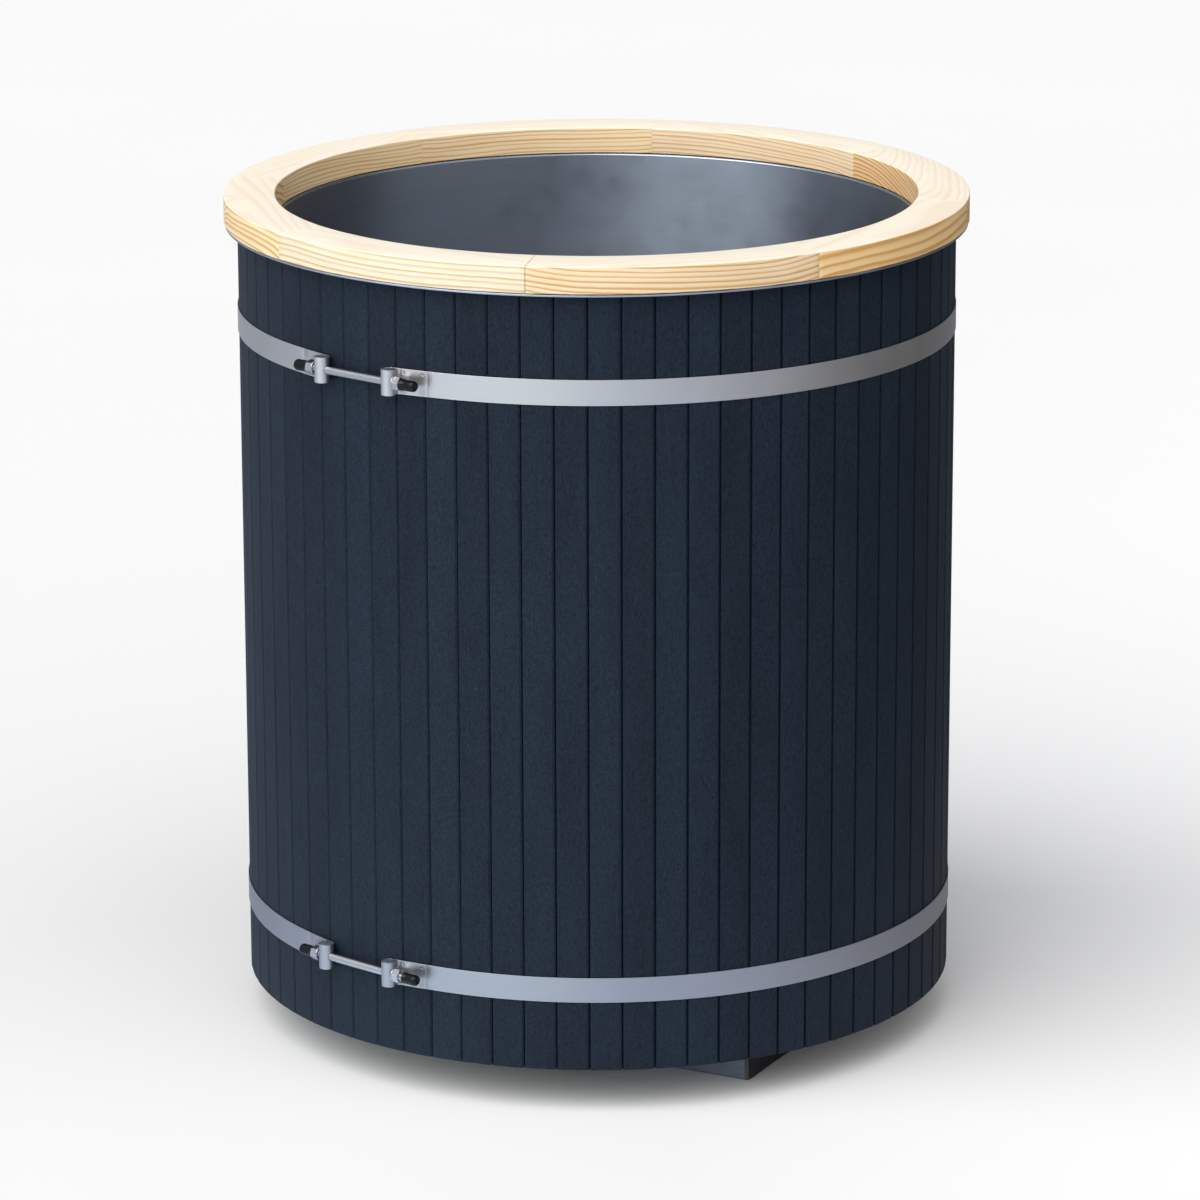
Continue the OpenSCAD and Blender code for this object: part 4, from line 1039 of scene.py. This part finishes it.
zp = 127.5
v, f = lathe([(r, z + zp) for r, z in
              [(0, -13.95), (13.6, -13.95), (14.7, -13.5), (15.0, -12.6), (15.5, -8.0), (16.2, -3.0), (16.45, -1.0), (16.5, 0.12), (22.4, 0.12), (23.3, 0.6),
               (23.3, 1.4), (22.7, 2.6), (21.6, 3.45), (19.0, 3.58), (9.0, 3.58), (0, 3.58)]], 96, closed=False)
piece("plug_body", v, f, M_RUBBER, "plug", ["drain_plug"], sharp=34,
      cut=[([(0.00305 * math.cos(2 * PI * q / 48), 0.00305 * math.sin(2 * PI * q / 48), zz) for zz in (0.1195, 0.1350) for q in range(48)],
            [tuple([q, (q + 1) % 48, 48 + (q + 1) % 48, 48 + q]) for q in range(48)] + [tuple(range(47, -1, -1)), tuple(range(48, 96))])])
v, f = lathe([(r, z + zp) for r, z in
              [(0, -7.45), (2.6, -7.45), (2.98, -7.0), (2.98, 3.72), (7.6, 3.72), (7.98, 4.1), (7.98, 5.3), (7.5, 5.68), (5.2, 5.75), (4.5, 6.4), (4.4, 9.5),
               (4.6, 12.6), (5.6, 13.6), (8.8, 13.9), (9.7, 15.4), (9.98, 17.0), (9.9, 19.2), (9.2, 20.8), (7.9, 21.7), (5.0, 21.97), (0, 21.97)]], 96, closed=False)
piece("plug_pull", v, f, M_ROD, "plug", ["plug_knob"], sharp=38)

# ------------------------------------------------------------------ CAD pieces that stay
STAY = {
    "rim_dowels": M_BEECH, "rim_screws": M_FIX, "wall_insulation": M_FOAM, "floor_insulation": M_FOAM, "base_panel": M_PANEL,
    "base_screws": M_FIX, "drain_seal": M_RUBBER, "drain_locknut": M_DARK, "drain_elbow": M_GREY, "pipe_clip": M_DARK,
}
for node, mat in STAY.items():
    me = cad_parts[node].data
    me.materials.clear()
    me.materials.append(mat)

# ------------------------------------------------------------------ floor, light, world
floor_mat = Mat("studio_floor")
fp = floor_mat.obj()
fcol = floor_mat.mix(floor_mat.range(floor_mat.noise(fp, 0.8, 2.0, 0.5), 0.3, 0.7, 0.0, 1.0), (0.790, 0.785, 0.781), (0.800, 0.795, 0.791))
seen = floor_mat.node("ShaderNodeLightPath")
# what the floor throws back at the object: bright at the front left, dark towards the right
fx, fy, fz = floor_mat.split(floor_mat.vec("NORMALIZE", fp))
side = floor_mat.math("ADD", floor_mat.math("MULTIPLY", fx, 0.940), floor_mat.math("MULTIPLY", fy, 0.342))
hot = floor_mat.math("ADD", floor_mat.math("MULTIPLY", fx, -0.530), floor_mat.math("MULTIPLY", fy, -0.848))
near = floor_mat.range(floor_mat.vec("LENGTH", fp), 0.9, 1.7, 1.0, 0.0)
away = floor_mat.mix(near, (0.110, 0.111, 0.113), (0.42, 0.42, 0.425))
left = floor_mat.math("ADD", floor_mat.math("MULTIPLY", fx, -0.500), floor_mat.math("MULTIPLY", fy, 0.866))
back = floor_mat.mix(floor_mat.range(left, 0.15, 0.95, 0.0, 1.0), (0.56, 0.65, 0.79), (0.30, 0.34, 0.40))
back = floor_mat.mix(floor_mat.range(side, -0.12, 0.95, 1.0, 0.0), away, back)
back = floor_mat.mix(floor_mat.range(hot, 0.80, 0.995, 0.0, 1.0), back, (0.74, 0.91, 1.0))
# painted light: the floor as seen by the camera is made paler towards the right, out to about 6 m, to lift the
# object's shadow there
painted_shadow_lift = floor_mat.math("MULTIPLY", floor_mat.range(fx, 0.15, 0.75, 0.0, 1.0), floor_mat.range(floor_mat.vec("LENGTH", fp), 2.5, 6.0, 1.0, 0.0))
fcol = floor_mat.mix(painted_shadow_lift, fcol, (0.862, 0.858, 0.854))
fcol = floor_mat.mix(seen, back, fcol)
floor_mat.set(Base_Color=fcol, Roughness=0.9, Specular_IOR_Level=0.15)
n = 96
verts = [(0, 0, 0)] + [(60 * math.cos(2 * PI * q / n), 60 * math.sin(2 * PI * q / n), 0) for q in range(n)]
me = bpy.data.meshes.new("studio_floor")
me.from_pydata(verts, [], [(0, 1 + q, 1 + (q + 1) % n) for q in range(n)])
me.materials.append(floor_mat.m)
floor = bpy.data.objects.new("studio_floor", me)
scene.collection.objects.link(floor)


def sun(name, phi, elev, strength, angle, color=(1, 1, 1)):
    ld = bpy.data.lights.new(name, "SUN")
    ld.energy = strength
    ld.angle = rad(angle)
    ld.color = color
    ob = bpy.data.objects.new(name, ld)
    scene.collection.objects.link(ob)
    d = Vector((math.sin(rad(phi)) * math.cos(rad(elev)), -math.cos(rad(phi)) * math.cos(rad(elev)), math.sin(rad(elev))))
    ob.rotation_mode = "QUATERNION"
    ob.rotation_quaternion = d.to_track_quat("Z", "Y")
    ob.location = d * 6
    return ob


sun("key", -46, 46, 2.42, 66, (1.0, 0.99, 0.97))
sun("strip", -68, 38, 0.06, 16, (0.85, 0.93, 1.0))
sun("fill_soft", 52, 40, 0.64, 80, (1.0, 0.98, 0.95))
fill = sun("fill", 30, 40, 0.56, 80, (1.0, 0.985, 0.96))
fill.visible_glossy = False

world = bpy.data.worlds.new("studio")
scene.world = world
world.use_nodes = True
wt = world.node_tree
wt.nodes.clear()
wo = wt.nodes.new("ShaderNodeOutputWorld")
mixs = wt.nodes.new("ShaderNodeMixShader")
lp = wt.nodes.new("ShaderNodeLightPath")
bg_seen = wt.nodes.new("ShaderNodeBackground")
bg_seen.inputs[0].default_value = (0.93, 0.93, 0.93, 1)
bg_light = wt.nodes.new("ShaderNodeBackground")
tcn = wt.nodes.new("ShaderNodeTexCoord")
dot = wt.nodes.new("ShaderNodeVectorMath")
dot.operation = "DOT_PRODUCT"
dot.inputs[1].default_value = Vector((-0.72, -0.42, 0.55)).normalized()
wt.links.new(tcn.outputs["Generated"], dot.inputs[0])
cr = wt.nodes.new("ShaderNodeValToRGB")
cr.color_ramp.elements[0].position = 0.0
cr.color_ramp.elements[0].color = (0.05, 0.055, 0.068, 1)
cr.color_ramp.elements[1].position = 1.0
cr.color_ramp.elements[1].color = (0.76, 0.78, 0.82, 1)
e = cr.color_ramp.elements.new(0.5)
e.color = (0.17, 0.185, 0.215, 1)
mr = wt.nodes.new("ShaderNodeMapRange")
mr.inputs[1].default_value, mr.inputs[2].default_value = -1, 1
wt.links.new(dot.outputs["Value"], mr.inputs[0])
wt.links.new(mr.outputs[0], cr.inputs[0])
wt.links.new(cr.outputs[0], bg_light.inputs[0])
wt.links.new(lp.outputs["Is Camera Ray"], mixs.inputs[0])
wt.links.new(bg_light.outputs[0], mixs.inputs[1])
wt.links.new(bg_seen.outputs[0], mixs.inputs[2])
wt.links.new(mixs.outputs[0], wo.inputs[0])

scene.view_settings.view_transform = "Standard"
scene.view_settings.look = "None"
